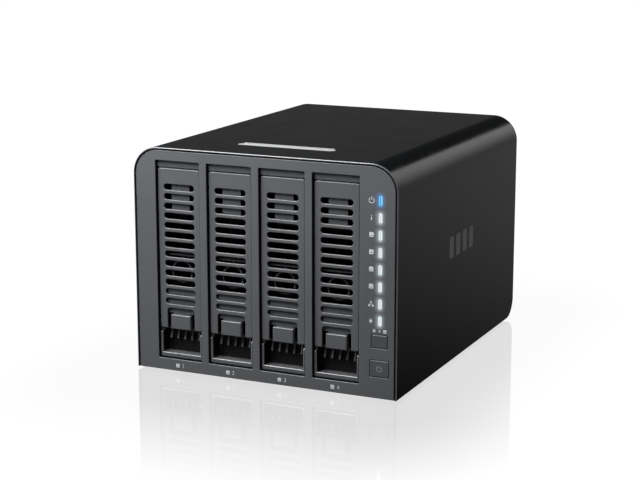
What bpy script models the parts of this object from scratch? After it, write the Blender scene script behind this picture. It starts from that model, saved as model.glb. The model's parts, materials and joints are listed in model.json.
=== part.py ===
"""Four-bay network storage enclosure: a desktop case with four vertical trays for 3.5-inch drives.

Frame: the origin is on the floor under the middle of the case, +X points to the right of someone
facing the front, +Y points to the rear and +Z points up. Depths are measured from the front edge
of the cover with deep(), because everything is stacked up from there.
"""

import math

import bmesh
import bpy
from mathutils import Matrix, Vector

MM = 0.001
GAP = 0.3 * MM  # clearance between pieces that touch on the real object

# --- Driving dimensions -------------------------------------------------------------------------
CASE_W, CASE_D, CASE_H = 188 * MM, 235 * MM, 152 * MM
CASE_R = 18 * MM  # radius of the two long upper edges
FOOT_DROP = 1.5 * MM  # how far the feet hold the case off the floor
COVER_WALL = 1.3 * MM
REAR_RECESS = 9 * MM  # how far the cover runs on behind the rear panel
REAR_CORNER_R = 14 * MM  # rounding of the cover's lower rear corners, seen from the side

BEZEL_FACE, BEZEL_BACK = 0.3 * MM, 4.0 * MM
BEZEL_GAP = 0.5 * MM

BAY_COUNT = 4
BAY_PITCH = 37.7 * MM
BAY_W = 32.6 * MM
BAY_LOW, BAY_HIGH = 9.5 * MM, 143.5 * MM
FIRST_BAY_X = -61.3 * MM

BASE_LOW, BASE_HIGH = 3.0 * MM, 4.2 * MM
SHEET = 1.2 * MM  # gauge of the steel parts

FACETS = 32  # segments of a full circle on large round shapes
PAST = 1 * MM  # how far a cutter runs past what it cuts


def deep(depth):
    """The y coordinate this far behind the front edge of the cover."""
    return depth - CASE_D / 2


REAR_INNER = CASE_D - REAR_RECESS  # depths of the rear panel's two faces
REAR_FACE = REAR_INNER + SHEET

# --- Materials: name -> (colour, roughness, metallic) -------------------------------------------
FINISHES = {
    "cover_black": ((0.012, 0.012, 0.013), 0.28, 0.0),
    "bezel_grey": ((0.075, 0.078, 0.082), 0.45, 0.0),
    "tray_grey": ((0.060, 0.063, 0.066), 0.48, 0.0),
    "accent_silver": ((0.72, 0.73, 0.75), 0.30, 0.9),
    "steel": ((0.50, 0.51, 0.52), 0.38, 0.9),
    "rear_paint": ((0.035, 0.035, 0.037), 0.50, 0.3),
    "circuit_board": ((0.015, 0.075, 0.035), 0.45, 0.0),
    "socket_black": ((0.018, 0.018, 0.018), 0.50, 0.0),
    "port_metal": ((0.62, 0.62, 0.63), 0.30, 1.0),
    "fan_black": ((0.020, 0.020, 0.021), 0.50, 0.0),
    "clear_guide": ((0.85, 0.90, 0.95), 0.12, 0.0),
    "foot_rubber": ((0.020, 0.020, 0.020), 0.80, 0.0),
    "heatsink_alloy": ((0.55, 0.56, 0.58), 0.35, 0.9),
}


def finish(name):
    """The Principled material of this name, made the first time it is asked for."""
    found = bpy.data.materials.get(name)
    if found:
        return found
    colour, roughness, metallic = FINISHES[name]
    material = bpy.data.materials.new(name)
    material.use_nodes = True
    shader = material.node_tree.nodes["Principled BSDF"]
    shader.inputs["Base Color"].default_value = (*colour, 1.0)
    shader.inputs["Roughness"].default_value = roughness
    shader.inputs["Metallic"].default_value = metallic
    return material


# --- Modelling helpers --------------------------------------------------------------------------
def clear_scene():
    for old in list(bpy.data.objects):
        bpy.data.objects.remove(old)


def object_from(bm, name="shape"):
    """Links the bmesh to the scene as an object, with its faces pointing out."""
    bmesh.ops.recalc_face_normals(bm, faces=bm.faces)
    mesh = bpy.data.meshes.new(name)
    bm.to_mesh(mesh)
    bm.free()
    made = bpy.data.objects.new(name, mesh)
    bpy.context.collection.objects.link(made)
    return made


def prism(outline, axis, low, high):
    """The 2D outline swept from low to high along "X", "Y" or "Z".

    An outline point is (y, z) for X, (x, z) for Y and (x, y) for Z.
    """
    place = {
        "X": lambda a, b, t: (t, a, b),
        "Y": lambda a, b, t: (a, t, b),
        "Z": lambda a, b, t: (a, b, t),
    }[axis]
    bm = bmesh.new()
    ends = [[bm.verts.new(place(a, b, t)) for a, b in outline] for t in (low, high)]
    for end in ends:
        bm.faces.new(end)
    count = len(outline)
    for i in range(count):
        j = (i + 1) % count
        bm.faces.new((ends[0][i], ends[0][j], ends[1][j], ends[1][i]))
    return object_from(bm)


def box(x, y, z):
    """A block given by its three (low, high) ranges."""
    outline = [(x[0], z[0]), (x[1], z[0]), (x[1], z[1]), (x[0], z[1])]
    return prism(outline, "Y", *y)


def arc(centre, radius, start, end, steps):
    """Points on an arc, from start to end in degrees, both ends included."""
    return [
        (
            centre[0] + radius * math.cos(math.radians(start + (end - start) * i / steps)),
            centre[1] + radius * math.sin(math.radians(start + (end - start) * i / steps)),
        )
        for i in range(steps + 1)
    ]


def rounded(centre, width, height, radius, steps=4):
    """A rounded rectangle's outline. A radius of half the height makes a slot with round ends."""
    across, up = width / 2 - radius, height / 2 - radius
    corners = ((across, up, 0), (-across, up, 90), (-across, -up, 180), (across, -up, 270))
    outline = []
    for dx, dz, start in corners:
        centre_of_arc = (centre[0] + dx, centre[1] + dz)
        outline += arc(centre_of_arc, radius, start, start + 90, steps)
    tidy = []
    for point in outline:
        if not tidy or math.dist(point, tidy[-1]) > 1e-7:
            tidy.append(point)
    if math.dist(tidy[0], tidy[-1]) < 1e-7:
        tidy.pop()
    return tidy


def disc(axis, centre, radius, low, high, facets=FACETS):
    """A cylinder along the axis; centre is 2D, in the order that prism() uses."""
    return prism(arc(centre, radius, 0, 360 - 360 / facets, facets - 1), axis, low, high)


def merged(shapes):
    """Shapes that don't touch each other as one object, to be used as one cutter."""
    bm = bmesh.new()
    for shape in shapes:
        bm.from_mesh(shape.data)
        bpy.data.objects.remove(shape)
    return object_from(bm, "cutters")


def boolean(base, other, operation):
    """Applies one exact Boolean to base, and removes the other object."""
    modifier = base.modifiers.new("Boolean", "BOOLEAN")
    modifier.operation = operation
    modifier.object = other
    graph = bpy.context.evaluated_depsgraph_get()
    base.data = bpy.data.meshes.new_from_object(base.evaluated_get(graph))
    base.modifiers.clear()
    bpy.data.objects.remove(other)


def unite(base, *others):
    for other in others:
        boolean(base, other, "UNION")
    return base


def cut(base, *cutters):
    """Removes the cutters, which must not touch each other, from base."""
    boolean(base, merged(cutters), "DIFFERENCE")
    return base


def tidied(piece):
    """Dissolves the edges that Booleans leave in flat faces."""
    bm = bmesh.new()
    bm.from_mesh(piece.data)
    bmesh.ops.remove_doubles(bm, verts=bm.verts, dist=1e-6)
    bmesh.ops.dissolve_limit(
        bm, angle_limit=math.radians(0.2), verts=bm.verts, edges=bm.edges
    )
    bm.to_mesh(piece.data)
    bm.free()
    return piece


def named(piece, name, material, smooth_deg=None):
    """Gives a finished piece its node name and material."""
    tidied(piece)
    piece.name = name
    piece.data.name = name
    piece.data.materials.clear()
    piece.data.materials.append(finish(material))
    if smooth_deg:
        piece.data.shade_smooth()
        piece.data.set_sharp_from_angle(angle=math.radians(smooth_deg))
    return piece


def origin_to(piece, point):
    """Moves a piece's origin to a point of the case without moving its shape."""
    piece.data.transform(Matrix.Translation(-Vector(point)))
    piece.location = point
    return piece


def copy_at(piece, name, location):
    """A further copy, which shares the piece's mesh."""
    twin = bpy.data.objects.new(name, piece.data)
    bpy.context.collection.objects.link(twin)
    twin.location = location
    return twin


def bay_x(index):
    """Centre line of a bay, counted from 0 at the left."""
    return FIRST_BAY_X + index * BAY_PITCH


# --- Casing -------------------------------------------------------------------------------------
FLANGE_W = 8 * MM  # turned in under the base along both sides of the cover
ACCENT_W, ACCENT_L = 70.5 * MM, 8.4 * MM  # silver bar, across and along the case
ACCENT_DEPTH, ACCENT_SINK, ACCENT_R = 37 * MM, 0.4 * MM, 3.9 * MM


def arch(half_width, top, radius, low, steps=10):
    """An upside-down U outline with round upper corners, from the lower right to the lower left."""
    right = arc((half_width - radius, top - radius), radius, 0, 90, steps)
    left = arc((radius - half_width, top - radius), radius, 90, 180, steps)
    return [(half_width, low), *right, *left, (-half_width, low)]


def make_cover():
    """Sleeve over the top and both sides, with flanges turned in under the base."""
    inner_half = CASE_W / 2 - COVER_WALL
    toe = inner_half - FLANGE_W
    outer = arch(CASE_W / 2, CASE_H, CASE_R, FOOT_DROP)
    inner = arch(inner_half, CASE_H - COVER_WALL, CASE_R - COVER_WALL, FOOT_DROP + SHEET)
    toe_right = [(toe, FOOT_DROP + SHEET), (toe, FOOT_DROP)]
    toe_left = [(-x, z) for x, z in reversed(toe_right)]
    outline = [*outer, *toe_left, *reversed(inner), *toe_right]
    cover = prism(outline, "Y", deep(0), deep(CASE_D))

    # The bezel takes the flanges' place at the front, and the accent bar its slot in the top.
    front = (deep(-PAST), deep(BEZEL_BACK + GAP))
    front_of_flanges = box((-inner_half, inner_half), front, (0, BASE_LOW - GAP / 2))
    slot_w, slot_l = ACCENT_W + 2 * GAP, ACCENT_L + 2 * GAP
    slot = rounded((0, deep(ACCENT_DEPTH)), slot_w, slot_l, ACCENT_R + GAP)
    cut(cover, front_of_flanges, prism(slot, "Z", CASE_H - 2 * COVER_WALL, CASE_H + PAST))

    # Round the lower rear corners of both sides, as seen from the side.
    centre = (deep(CASE_D - REAR_CORNER_R), FOOT_DROP + REAR_CORNER_R)
    corner = [
        (deep(CASE_D) + PAST, FOOT_DROP - PAST),
        (deep(CASE_D) + PAST, centre[1]),
        *reversed(arc(centre, REAR_CORNER_R, 270, 360, 8)),
        (centre[0], FOOT_DROP - PAST),
    ]
    cut(cover, prism(corner, "X", -CASE_W, CASE_W))
    return named(cover, "outer_cover", "cover_black", 40)


def make_accent_bar():
    """Silver bar set in the top of the cover, with a flange that holds it from below."""
    under = CASE_H - COVER_WALL - GAP
    flange_t, flange_lip = 1.4 * MM, 3 * MM
    centre = (0, deep(ACCENT_DEPTH))
    bar = rounded(centre, ACCENT_W, ACCENT_L, ACCENT_R)
    flange = rounded(centre, ACCENT_W + 2 * flange_lip, ACCENT_L + 2 * flange_lip, flange_lip)
    accent = unite(
        prism(bar, "Z", under - flange_t / 2, CASE_H - ACCENT_SINK),
        prism(flange, "Z", under - flange_t, under),
    )
    return named(accent, "accent_bar", "accent_silver", 40)


# Status lights and the two buttons stand in one column at the right of the bays.
COLUMN_X = 82.1 * MM
LIGHT_COUNT = 8
LIGHT_TOP, LIGHT_PITCH = 129 * MM, 11 * MM
LIGHT_W, LIGHT_L, LIGHT_FACE = 2.3 * MM, 6.5 * MM, 0.4 * MM
BUTTONS = {  # name: centre (x, z), width, height
    "copy_button": ((COLUMN_X, 38.8 * MM), 10.6 * MM, 8.4 * MM),
    "power_button": ((COLUMN_X, 21.0 * MM), 12.8 * MM, 10.6 * MM),
}
BUTTON_FACE, BUTTON_BACK, BUTTON_STEM = 0.2 * MM, 5.5 * MM, 5.9 * MM
BUTTON_LIP = 1.2 * MM  # the flange behind the bezel that keeps a button in
SWITCH_FACE = BUTTON_STEM + 1.3 * MM  # leaves the buttons 1 mm of travel
BOARD_FACE, BOARD_T = 11 * MM, 1.6 * MM


def light_z(index):
    return LIGHT_TOP - index * LIGHT_PITCH


def make_bezel():
    """Front plate with four bay openings, eight light windows and two button openings."""
    inset = COVER_WALL + BEZEL_GAP
    outline = arch(CASE_W / 2 - inset, CASE_H - inset, CASE_R - inset, FOOT_DROP)
    bezel = prism(outline, "Y", deep(BEZEL_FACE), deep(BEZEL_BACK))
    past = (deep(-PAST), deep(BEZEL_BACK + PAST))
    cutters = [
        box((bay_x(i) - BAY_W / 2, bay_x(i) + BAY_W / 2), past, (BAY_LOW, BAY_HIGH))
        for i in range(BAY_COUNT)
    ]
    for i in range(LIGHT_COUNT):
        width, length = LIGHT_W + 2 * GAP, LIGHT_L + 2 * GAP
        window = rounded((COLUMN_X, light_z(i)), width, length, width / 2, 3)
        cutters.append(prism(window, "Y", *past))
    for centre, width, height in BUTTONS.values():
        opening = rounded(centre, width + 2 * GAP, height + 2 * GAP, 0.6 * MM, 2)
        cutters.append(prism(opening, "Y", *past))
    cut(bezel, *cutters)
    return named(bezel, "front_bezel", "bezel_grey")


def make_button(name):
    """Push button: a cap in the bezel, a flange behind it and a stem towards its switch."""
    centre, width, height = BUTTONS[name]
    lip_w, lip_h = width + 2 * BUTTON_LIP, height + 2 * BUTTON_LIP
    button = unite(
        prism(rounded(centre, width, height, 0.5 * MM, 2), "Y", deep(BUTTON_FACE), deep(BUTTON_BACK - GAP)),
        prism(rounded(centre, lip_w, lip_h, 1 * MM, 2), "Y", deep(BEZEL_BACK + GAP), deep(BUTTON_BACK)),
        disc("Y", centre, 1.5 * MM, deep(BUTTON_BACK - GAP), deep(BUTTON_STEM), 12),
    )
    named(button, name, "tray_grey")
    return origin_to(button, (centre[0], deep(BUTTON_FACE), centre[1]))


def make_light_guide():
    """One clear moulding: a back bar with a peg for each status light."""
    middle = (light_z(0) + light_z(LIGHT_COUNT - 1)) / 2
    length = light_z(0) - light_z(LIGHT_COUNT - 1) + LIGHT_L
    bar_front, bar_t = 5 * MM, 2 * MM
    bar = rounded((COLUMN_X, middle), 2 * LIGHT_W, length, 1 * MM, 2)
    guide = prism(bar, "Y", deep(bar_front), deep(bar_front + bar_t))
    for i in range(LIGHT_COUNT):
        peg = rounded((COLUMN_X, light_z(i)), LIGHT_W, LIGHT_L, LIGHT_W / 2, 3)
        unite(guide, prism(peg, "Y", deep(LIGHT_FACE), deep(bar_front + bar_t / 4)))
    return named(guide, "light_guide", "clear_guide")


def make_front_board():
    """Circuit board behind the column, with its lamps and the two switches."""
    board = box((74.5 * MM, 90 * MM), (deep(BOARD_FACE), deep(BOARD_FACE + BOARD_T)), (10 * MM, 136 * MM))
    sunk = deep(BOARD_FACE + BOARD_T / 3)
    for i in range(LIGHT_COUNT):
        lamp_x = (COLUMN_X - LIGHT_W / 2, COLUMN_X + LIGHT_W / 2)
        lamp_z = (light_z(i) - 1.6 * MM, light_z(i) + 1.6 * MM)
        unite(board, box(lamp_x, (deep(BOARD_FACE - 1.2 * MM), sunk), lamp_z))
    for (x, z), _, _ in BUTTONS.values():
        half = 3 * MM
        body = (deep(SWITCH_FACE + 0.8 * MM), sunk)
        plunger = disc("Y", (x, z), 1.7 * MM, deep(SWITCH_FACE), deep(SWITCH_FACE + 1 * MM), 12)
        unite(board, box((x - half, x + half), body, (z - half, z + half)), plunger)
    return named(board, "front_board", "circuit_board")


def make_base():
    """Steel floor of the case, folded up along both sides."""
    half = CASE_W / 2 - COVER_WALL - GAP
    inner, fold_top = half - SHEET, 16 * MM
    outline = [
        (-half, BASE_LOW), (half, BASE_LOW), (half, fold_top), (inner, fold_top),
        (inner, BASE_HIGH), (-inner, BASE_HIGH), (-inner, fold_top), (-half, fold_top),
    ]
    base = prism(outline, "Y", deep(BEZEL_BACK + GAP), deep(REAR_INNER - GAP))
    return named(base, "base_chassis", "steel")


FOOT_X, FOOT_Y, FOOT_R = 70 * MM, 92 * MM, 8 * MM


def make_feet():
    """Four round rubber feet that stick to the base."""
    foot = disc("Z", (0, 0), FOOT_R, 0, BASE_LOW - GAP, 24)
    named(foot, "foot_1", "foot_rubber", 40)
    spots = [(x, y, 0) for y in (-FOOT_Y, FOOT_Y) for x in (-FOOT_X, FOOT_X)]
    foot.location = spots[0]
    for i, spot in enumerate(spots[1:], start=2):
        copy_at(foot, f"foot_{i}", spot)


# --- Drive trays --------------------------------------------------------------------------------
TRAY_HALF = 15.8 * MM
TRAY_LOW, TRAY_HIGH = 9.9 * MM, 143.1 * MM
TRAY_WALL = 1.8 * MM
TRAY_FRONT, TRAY_FACE_BACK = 2.0 * MM, 11.0 * MM  # depths of the tray's front frame
HEADER_FRONT, CHEEK_WALL_FRONT, WALL_FRONT = 2.9 * MM, 7.0 * MM, 9.5 * MM
HEADER_GAP = 0.7 * MM  # lets the lever's upper edge turn under the header
RAIL_T = 2.0 * MM
DRIVE_H, DRIVE_L = 101.6 * MM, 147 * MM  # a 3.5-inch drive that lies on its long edge
TRAY_LENGTH = TRAY_FACE_BACK + DRIVE_L + 7 * MM
RAIL_LOW = 20 * MM
RAIL_HIGH = RAIL_LOW + DRIVE_H + 2 * GAP + 2 * RAIL_T
PLATE_WINDOWS = ((26 * MM, 84 * MM), (94 * MM, 152 * MM))  # depth ranges of a tray plate's openings
RECESS_LIP, RECESS_TOP = 13.2 * MM, 27.5 * MM  # lower and upper end of the frame of the recess
RECESS_RIBS, RIB_PITCH, RIB_T = 5, 5.3 * MM, 1.2 * MM
LEDGE_LOW, LEDGE_HIGH, LEDGE_FRONT = 28.4 * MM, 30.4 * MM, 7.2 * MM
RIB_LOW, RIB_ROOT, RIB_NOSE, RIB_CHIN = 21.5 * MM, 1.8 * MM, 0.6 * MM, 0.7 * MM  # see recess_shapes()
INTO = 0.5 * MM  # how far a shape reaches into the one that it is joined to
AIR_WINDOW = (62 * MM, 106 * MM)  # height range of the opening in a tray's front wall
WEB_LOW, WEB_HIGH = 109.5 * MM, 133.2 * MM  # height range of the plate above it

LEVER_HALF = 15.5 * MM
LEVER_LOW = 30.0 * MM
LEVER_FACE, LEVER_T = 2.2 * MM, 1.8 * MM
KNUCKLE_R, KNUCKLE_HALF = 2.2 * MM, 13.7 * MM
HINGE_DEPTH, HINGE_Z = LEVER_FACE + KNUCKLE_R, 136.0 * MM
PIN_R, PIN_HOLE_R = 0.6 * MM, 0.85 * MM
CHEEK_R = 1.25 * MM

SLOT_COUNT, SLOT_PITCH, SLOT_TOP = 13, 6.42 * MM, 125.8 * MM
SLOT_W, SLOT_H = 22.3 * MM, 3.9 * MM
NOTCH_HALF, NOTCH_TOP = 10.1 * MM, 44.0 * MM

LATCH_HALF, LATCH_LOW, LATCH_HIGH = 7.35 * MM, 29.9 * MM, 39.7 * MM
LATCH_FACE, PLATE_FRONT, PLATE_BACK = 1.6 * MM, 4.3 * MM, 5.5 * MM
HOOK_BACK, HOOK_T = 8.6 * MM, 1.2 * MM
RING_Z, RING_R, RING_WALL = 69.0 * MM, 7.7 * MM, 0.9 * MM


def mirrored_x(low, high):
    """The two x ranges at the same distance on either side of a bay's centre line."""
    return (low, high), (-high, -low)


def make_tray_frame():
    """Front of a tray: frame round the finger recess, posts, hinge cheeks, header and front wall."""
    front, back = deep(TRAY_FRONT), deep(TRAY_FACE_BACK)
    behind_lever = deep(LEVER_FACE + LEVER_T + 0.4 * MM)
    across = (-TRAY_HALF, TRAY_HALF)
    axis = (deep(HINGE_DEPTH), HINGE_Z)
    frame = box(across, (front, back), (TRAY_LOW, RECESS_LIP))
    for side in mirrored_x(TRAY_HALF - TRAY_WALL, TRAY_HALF):
        unite(
            frame,
            box(side, (front, back), (TRAY_LOW, RECESS_TOP)),
            box(side, (behind_lever, back), (RECESS_TOP - 1 * MM, HINGE_Z - 1 * MM)),
            disc("X", axis, CHEEK_R, *side, 16),
            box(side, (axis[0], back), (HINGE_Z - CHEEK_R, HINGE_Z + CHEEK_R)),
            box(side, (deep(CHEEK_WALL_FRONT), back), (HINGE_Z, TRAY_HIGH)),
        )
    header_low = HINGE_Z + KNUCKLE_R + HEADER_GAP
    wall = box(across, (deep(WALL_FRONT), back), (TRAY_LOW, TRAY_HIGH))
    cut(wall, box((-11.5 * MM, 11.5 * MM), (front, back + PAST), AIR_WINDOW))
    unite(frame, box(across, (deep(HEADER_FRONT), back), (header_low, TRAY_HIGH)), wall)
    unite(frame, *tray_window_shapes(), *recess_shapes())
    return cut(frame, disc("X", axis, PIN_HOLE_R, -CASE_W, CASE_W, 12))


def tray_window_shapes():
    """The plate above the air window, a bar across the window, and a collar that hangs from it."""
    back = deep(TRAY_FACE_BACK)
    collar = disc("Y", (0, RING_Z), RING_R, deep(5.2 * MM), deep(10 * MM), 24)
    cut(collar, disc("Y", (0, RING_Z), RING_R - RING_WALL, deep(-PAST), back + PAST, 24))
    return (
        box((-6.6 * MM, 6.6 * MM), (deep(4.6 * MM), back - 1 * MM), (WEB_LOW, WEB_HIGH)),
        box((-12 * MM, 12 * MM), (deep(6 * MM), back - 0.5 * MM), (79.5 * MM, 80.7 * MM)),
        box((-0.7 * MM, 0.7 * MM), (deep(7 * MM), back - 0.7 * MM), (RING_Z + RING_R - 0.5 * MM, 80 * MM)),
        collar,
    )


def recess_shapes():
    """The upright ribs at the top of the finger recess, and the ledge above them.

    A rib leans forwards: RIB_ROOT is how far its upper end stays behind the ledge's face, and
    RIB_NOSE how far its lower end stands out before it, above a chin RIB_CHIN high.
    """
    low, high, into_wall = RIB_LOW, LEDGE_LOW + INTO, deep(WALL_FRONT + INTO)
    side_view = [
        (into_wall, low),
        (into_wall, high),
        (deep(LEDGE_FRONT + RIB_ROOT), high),
        (deep(LEDGE_FRONT - RIB_NOSE), low + RIB_CHIN),
        (deep(LEDGE_FRONT), low),
    ]
    ribs = []
    for i in range(RECESS_RIBS):
        x = (i - (RECESS_RIBS - 1) / 2) * RIB_PITCH
        ribs.append(prism(side_view, "X", x - RIB_T / 2, x + RIB_T / 2))
    ledge_y = (deep(LEDGE_FRONT), deep(WALL_FRONT + 0.4 * MM))
    return *ribs, box((-12 * MM, 12 * MM), ledge_y, (LEDGE_LOW, LEDGE_HIGH))


def make_tray():
    """A tray: the front frame, a plate beside the drive and a rail above and below it."""
    across = (-TRAY_HALF, TRAY_HALF)
    along = (deep(TRAY_FACE_BACK - 1 * MM), deep(TRAY_LENGTH))
    plate = box((-TRAY_HALF, RAIL_T - TRAY_HALF), along, (RAIL_LOW, RAIL_HIGH))
    cut(plate, *[box((-CASE_W, CASE_W), (deep(a), deep(b)), (36 * MM, 110 * MM)) for a, b in PLATE_WINDOWS])
    tray = unite(
        make_tray_frame(),
        plate,
        box(across, along, (RAIL_LOW, RAIL_LOW + RAIL_T)),
        box(across, along, (RAIL_HIGH - RAIL_T, RAIL_HIGH)),
    )
    return named(tray, "drive_tray_1", "tray_grey")


def make_lever():
    """Slotted lever that is the face of a tray; it swings out about its knuckle at the top."""
    front, inner = deep(LEVER_FACE), deep(LEVER_FACE + LEVER_T)
    axis = (deep(HINGE_DEPTH), HINGE_Z)
    top, top_r, foot_r = HINGE_Z + KNUCKLE_R, 1 * MM, 1.2 * MM
    outline = [
        *reversed(arc((top_r - LEVER_HALF, top - top_r), top_r, 90, 180, 3)),
        *reversed(arc((LEVER_HALF - top_r, top - top_r), top_r, 0, 90, 3)),
        *reversed(arc((LEVER_HALF - foot_r, LEVER_LOW + foot_r), foot_r, 270, 360, 3)),
        *reversed(arc((foot_r - LEVER_HALF, LEVER_LOW + foot_r), foot_r, 180, 270, 3)),
    ]
    lever = prism(outline, "Y", front, inner)
    unite(lever, disc("X", axis, KNUCKLE_R, -KNUCKLE_HALF, KNUCKLE_HALF, 24))

    # At both ends of the knuckle only a skin is left in front of the tray's cheeks.
    skin = 0.8 * MM
    pocket_y, pocket_z = (front + skin, deep(TRAY_FACE_BACK)), (HINGE_Z - 3.2 * MM, HINGE_Z + 4 * MM)
    cut(lever, *[box(side, pocket_y, pocket_z) for side in mirrored_x(KNUCKLE_HALF, CASE_W)])
    cut(lever, disc("X", axis, PIN_HOLE_R, -CASE_W, CASE_W, 12))

    # The upper front edge is bevelled, so that it passes under the tray's header as the lever turns.
    bevel = 0.6 * MM
    corner = [
        (front - PAST, top + PAST),
        (front - PAST, top - bevel - PAST),
        (front + bevel + PAST, top + PAST),
    ]
    cut(lever, prism(corner, "X", -CASE_W, CASE_W))

    through = (front - PAST, inner + PAST)
    slots = [
        prism(rounded((0, SLOT_TOP - i * SLOT_PITCH), SLOT_W, SLOT_H, SLOT_H / 2, 3), "Y", *through)
        for i in range(SLOT_COUNT)
    ]
    notch_r = 2.2 * MM
    notch = [
        (-NOTCH_HALF, LEVER_LOW - PAST),
        (NOTCH_HALF, LEVER_LOW - PAST),
        *arc((NOTCH_HALF - notch_r, NOTCH_TOP - notch_r), notch_r, 0, 90, 4),
        *arc((notch_r - NOTCH_HALF, NOTCH_TOP - notch_r), notch_r, 90, 180, 4),
    ]
    cut(lever, *slots, prism(notch, "Y", *through))
    named(lever, "tray_lever_1", "bezel_grey")
    return origin_to(lever, (0, deep(HINGE_DEPTH), HINGE_Z))


def make_latch():
    """Sliding latch: a thumb block in the lever's notch, a plate behind the lever and a hook."""
    plate_y = (deep(PLATE_FRONT), deep(PLATE_BACK))
    plate_low = LATCH_HIGH + 0.6 * MM
    hook, hook_half = deep(HOOK_BACK), 3 * MM
    block = (deep(LATCH_FACE), plate_y[1])
    latch = unite(
        box((-LATCH_HALF, LATCH_HALF), block, (LATCH_LOW, LATCH_HIGH)),
        box((-6 * MM, 6 * MM), plate_y, (LATCH_HIGH - 2 * MM, plate_low + 2 * MM)),
        box((-10.8 * MM, 10.8 * MM), plate_y, (plate_low, 57.8 * MM)),
        box((-hook_half, hook_half), (plate_y[1] - 0.5 * MM, hook), (32.5 * MM, 34 * MM)),
        box((-hook_half, hook_half), (hook - HOOK_T, hook), (LEDGE_HIGH + 0.4 * MM, 33 * MM)),
    )
    named(latch, "lever_latch_1", "bezel_grey")
    return origin_to(latch, (0, deep(LATCH_FACE), LATCH_LOW))


def make_bays():
    """The tray, lever, latch and hinge pin of the first bay, and their copies in the others."""
    pin = disc("X", (0, 0), PIN_R, -TRAY_HALF + GAP, TRAY_HALF - GAP, 10)
    named(pin, "lever_pin_1", "steel", 40)
    pin.location = (0, deep(HINGE_DEPTH), HINGE_Z)
    for piece in (make_tray(), make_lever(), make_latch(), pin):
        stem = piece.name[:-1]
        home = piece.location.copy()
        piece.location = home + Vector((bay_x(0), 0, 0))
        for i in range(1, BAY_COUNT):
            copy_at(piece, f"{stem}{i + 1}", home + Vector((bay_x(i), 0, 0)))


# --- Drive cage ---------------------------------------------------------------------------------
CAGE_X = (-80.1 * MM, 70.6 * MM)
CAGE_Y = (14 * MM, 168 * MM)
CAGE_FLOOR, CAGE_TOP = RAIL_LOW - GAP, RAIL_HIGH + GAP  # the faces that the rails run on
GUIDE_H, GUIDE_HALF = 3.2 * MM, 2.2 * MM
PLATE_T = 1.4 * MM
CAGE_HIGH = CAGE_TOP + PLATE_T + 1.3 * MM


def make_cage():
    """Two side walls, and a floor and a top whose ribs guide the tray rails."""
    along = (deep(CAGE_Y[0]), deep(CAGE_Y[1]))
    across = (CAGE_X[0] + SHEET + GAP, CAGE_X[1] - SHEET - GAP)
    walls = {
        "cage_wall_left": (CAGE_X[0], CAGE_X[0] + SHEET),
        "cage_wall_right": (CAGE_X[1] - SHEET, CAGE_X[1]),
    }
    for name, x in walls.items():
        named(box(x, along, (BASE_HIGH + GAP, CAGE_HIGH)), name, "steel")
    sunk = PLATE_T / 2
    plates = {
        "cage_floor": ((CAGE_FLOOR - PLATE_T, CAGE_FLOOR), (CAGE_FLOOR - sunk, CAGE_FLOOR + GUIDE_H)),
        "cage_top": ((CAGE_TOP, CAGE_TOP + PLATE_T), (CAGE_TOP - GUIDE_H, CAGE_TOP + sunk)),
    }
    for name, (plate_z, rib_z) in plates.items():
        plate = box(across, along, plate_z)
        for i in range(BAY_COUNT - 1):
            x = bay_x(i) + BAY_PITCH / 2
            unite(plate, box((x - GUIDE_HALF, x + GUIDE_HALF), along, rib_z))
        named(plate, name, "steel")


# --- Electronics --------------------------------------------------------------------------------
BOARD_X, BOARD_Y = (-77.5 * MM, 68.0 * MM), (60 * MM, 224 * MM)
BOARD_LOW = 7.0 * MM
BOARD_TOP = BOARD_LOW + BOARD_T
SEAT = BOARD_TOP + GAP  # where the parts on the main board stand
SOLDERED = BOARD_TOP - BOARD_T / 3  # how far down a soldered part reaches into the board's solid
BACKPLANE_FRONT = CAGE_Y[1] + GAP
BACKPLANE_LOW = 18.2 * MM
SOCKET_L, SOCKET_Z = 8 * MM, (25 * MM, 67 * MM)
SOCKET_X, SOCKET_SLOT_X = (-5.4 * MM, 0.6 * MM), (-3.4 * MM, -1.4 * MM)  # from the bay's centre
SOCKET_SLOTS = ((27 * MM, 37 * MM), (39.5 * MM, 65 * MM))  # heights of the data and power slots
RESET, RESET_R = (-18 * MM, 13.5 * MM), 1.3 * MM  # plunger behind a pinhole: (x, z) and radius


def make_backplane():
    """Upright board behind the trays, with an air window for each bay."""
    front, back = deep(BACKPLANE_FRONT), deep(BACKPLANE_FRONT + BOARD_T)
    board = box(CAGE_X, (front, back), (BACKPLANE_LOW, CAGE_HIGH))
    window_half, window_z = 13 * MM, (74 * MM, 122 * MM)
    windows = []
    for i in range(BAY_COUNT):
        x = bay_x(i)
        windows.append(box((x - window_half, x + window_half), (front - PAST, back + PAST), window_z))
    named(cut(board, *windows), "backplane_board", "circuit_board")


def make_sockets():
    """The drive sockets on the backplane, each with a data and a power slot."""
    high = deep(BACKPLANE_FRONT - GAP)
    low = high - SOCKET_L
    socket = box(SOCKET_X, (low, high), SOCKET_Z)
    cut(socket, *[box(SOCKET_SLOT_X, (low - PAST, high - 2.5 * MM), z) for z in SOCKET_SLOTS])
    named(socket, "sata_socket_1", "socket_black")
    socket.location = (bay_x(0), 0, 0)
    for i in range(1, BAY_COUNT):
        copy_at(socket, f"sata_socket_{i + 1}", (bay_x(i), 0, 0))


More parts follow.
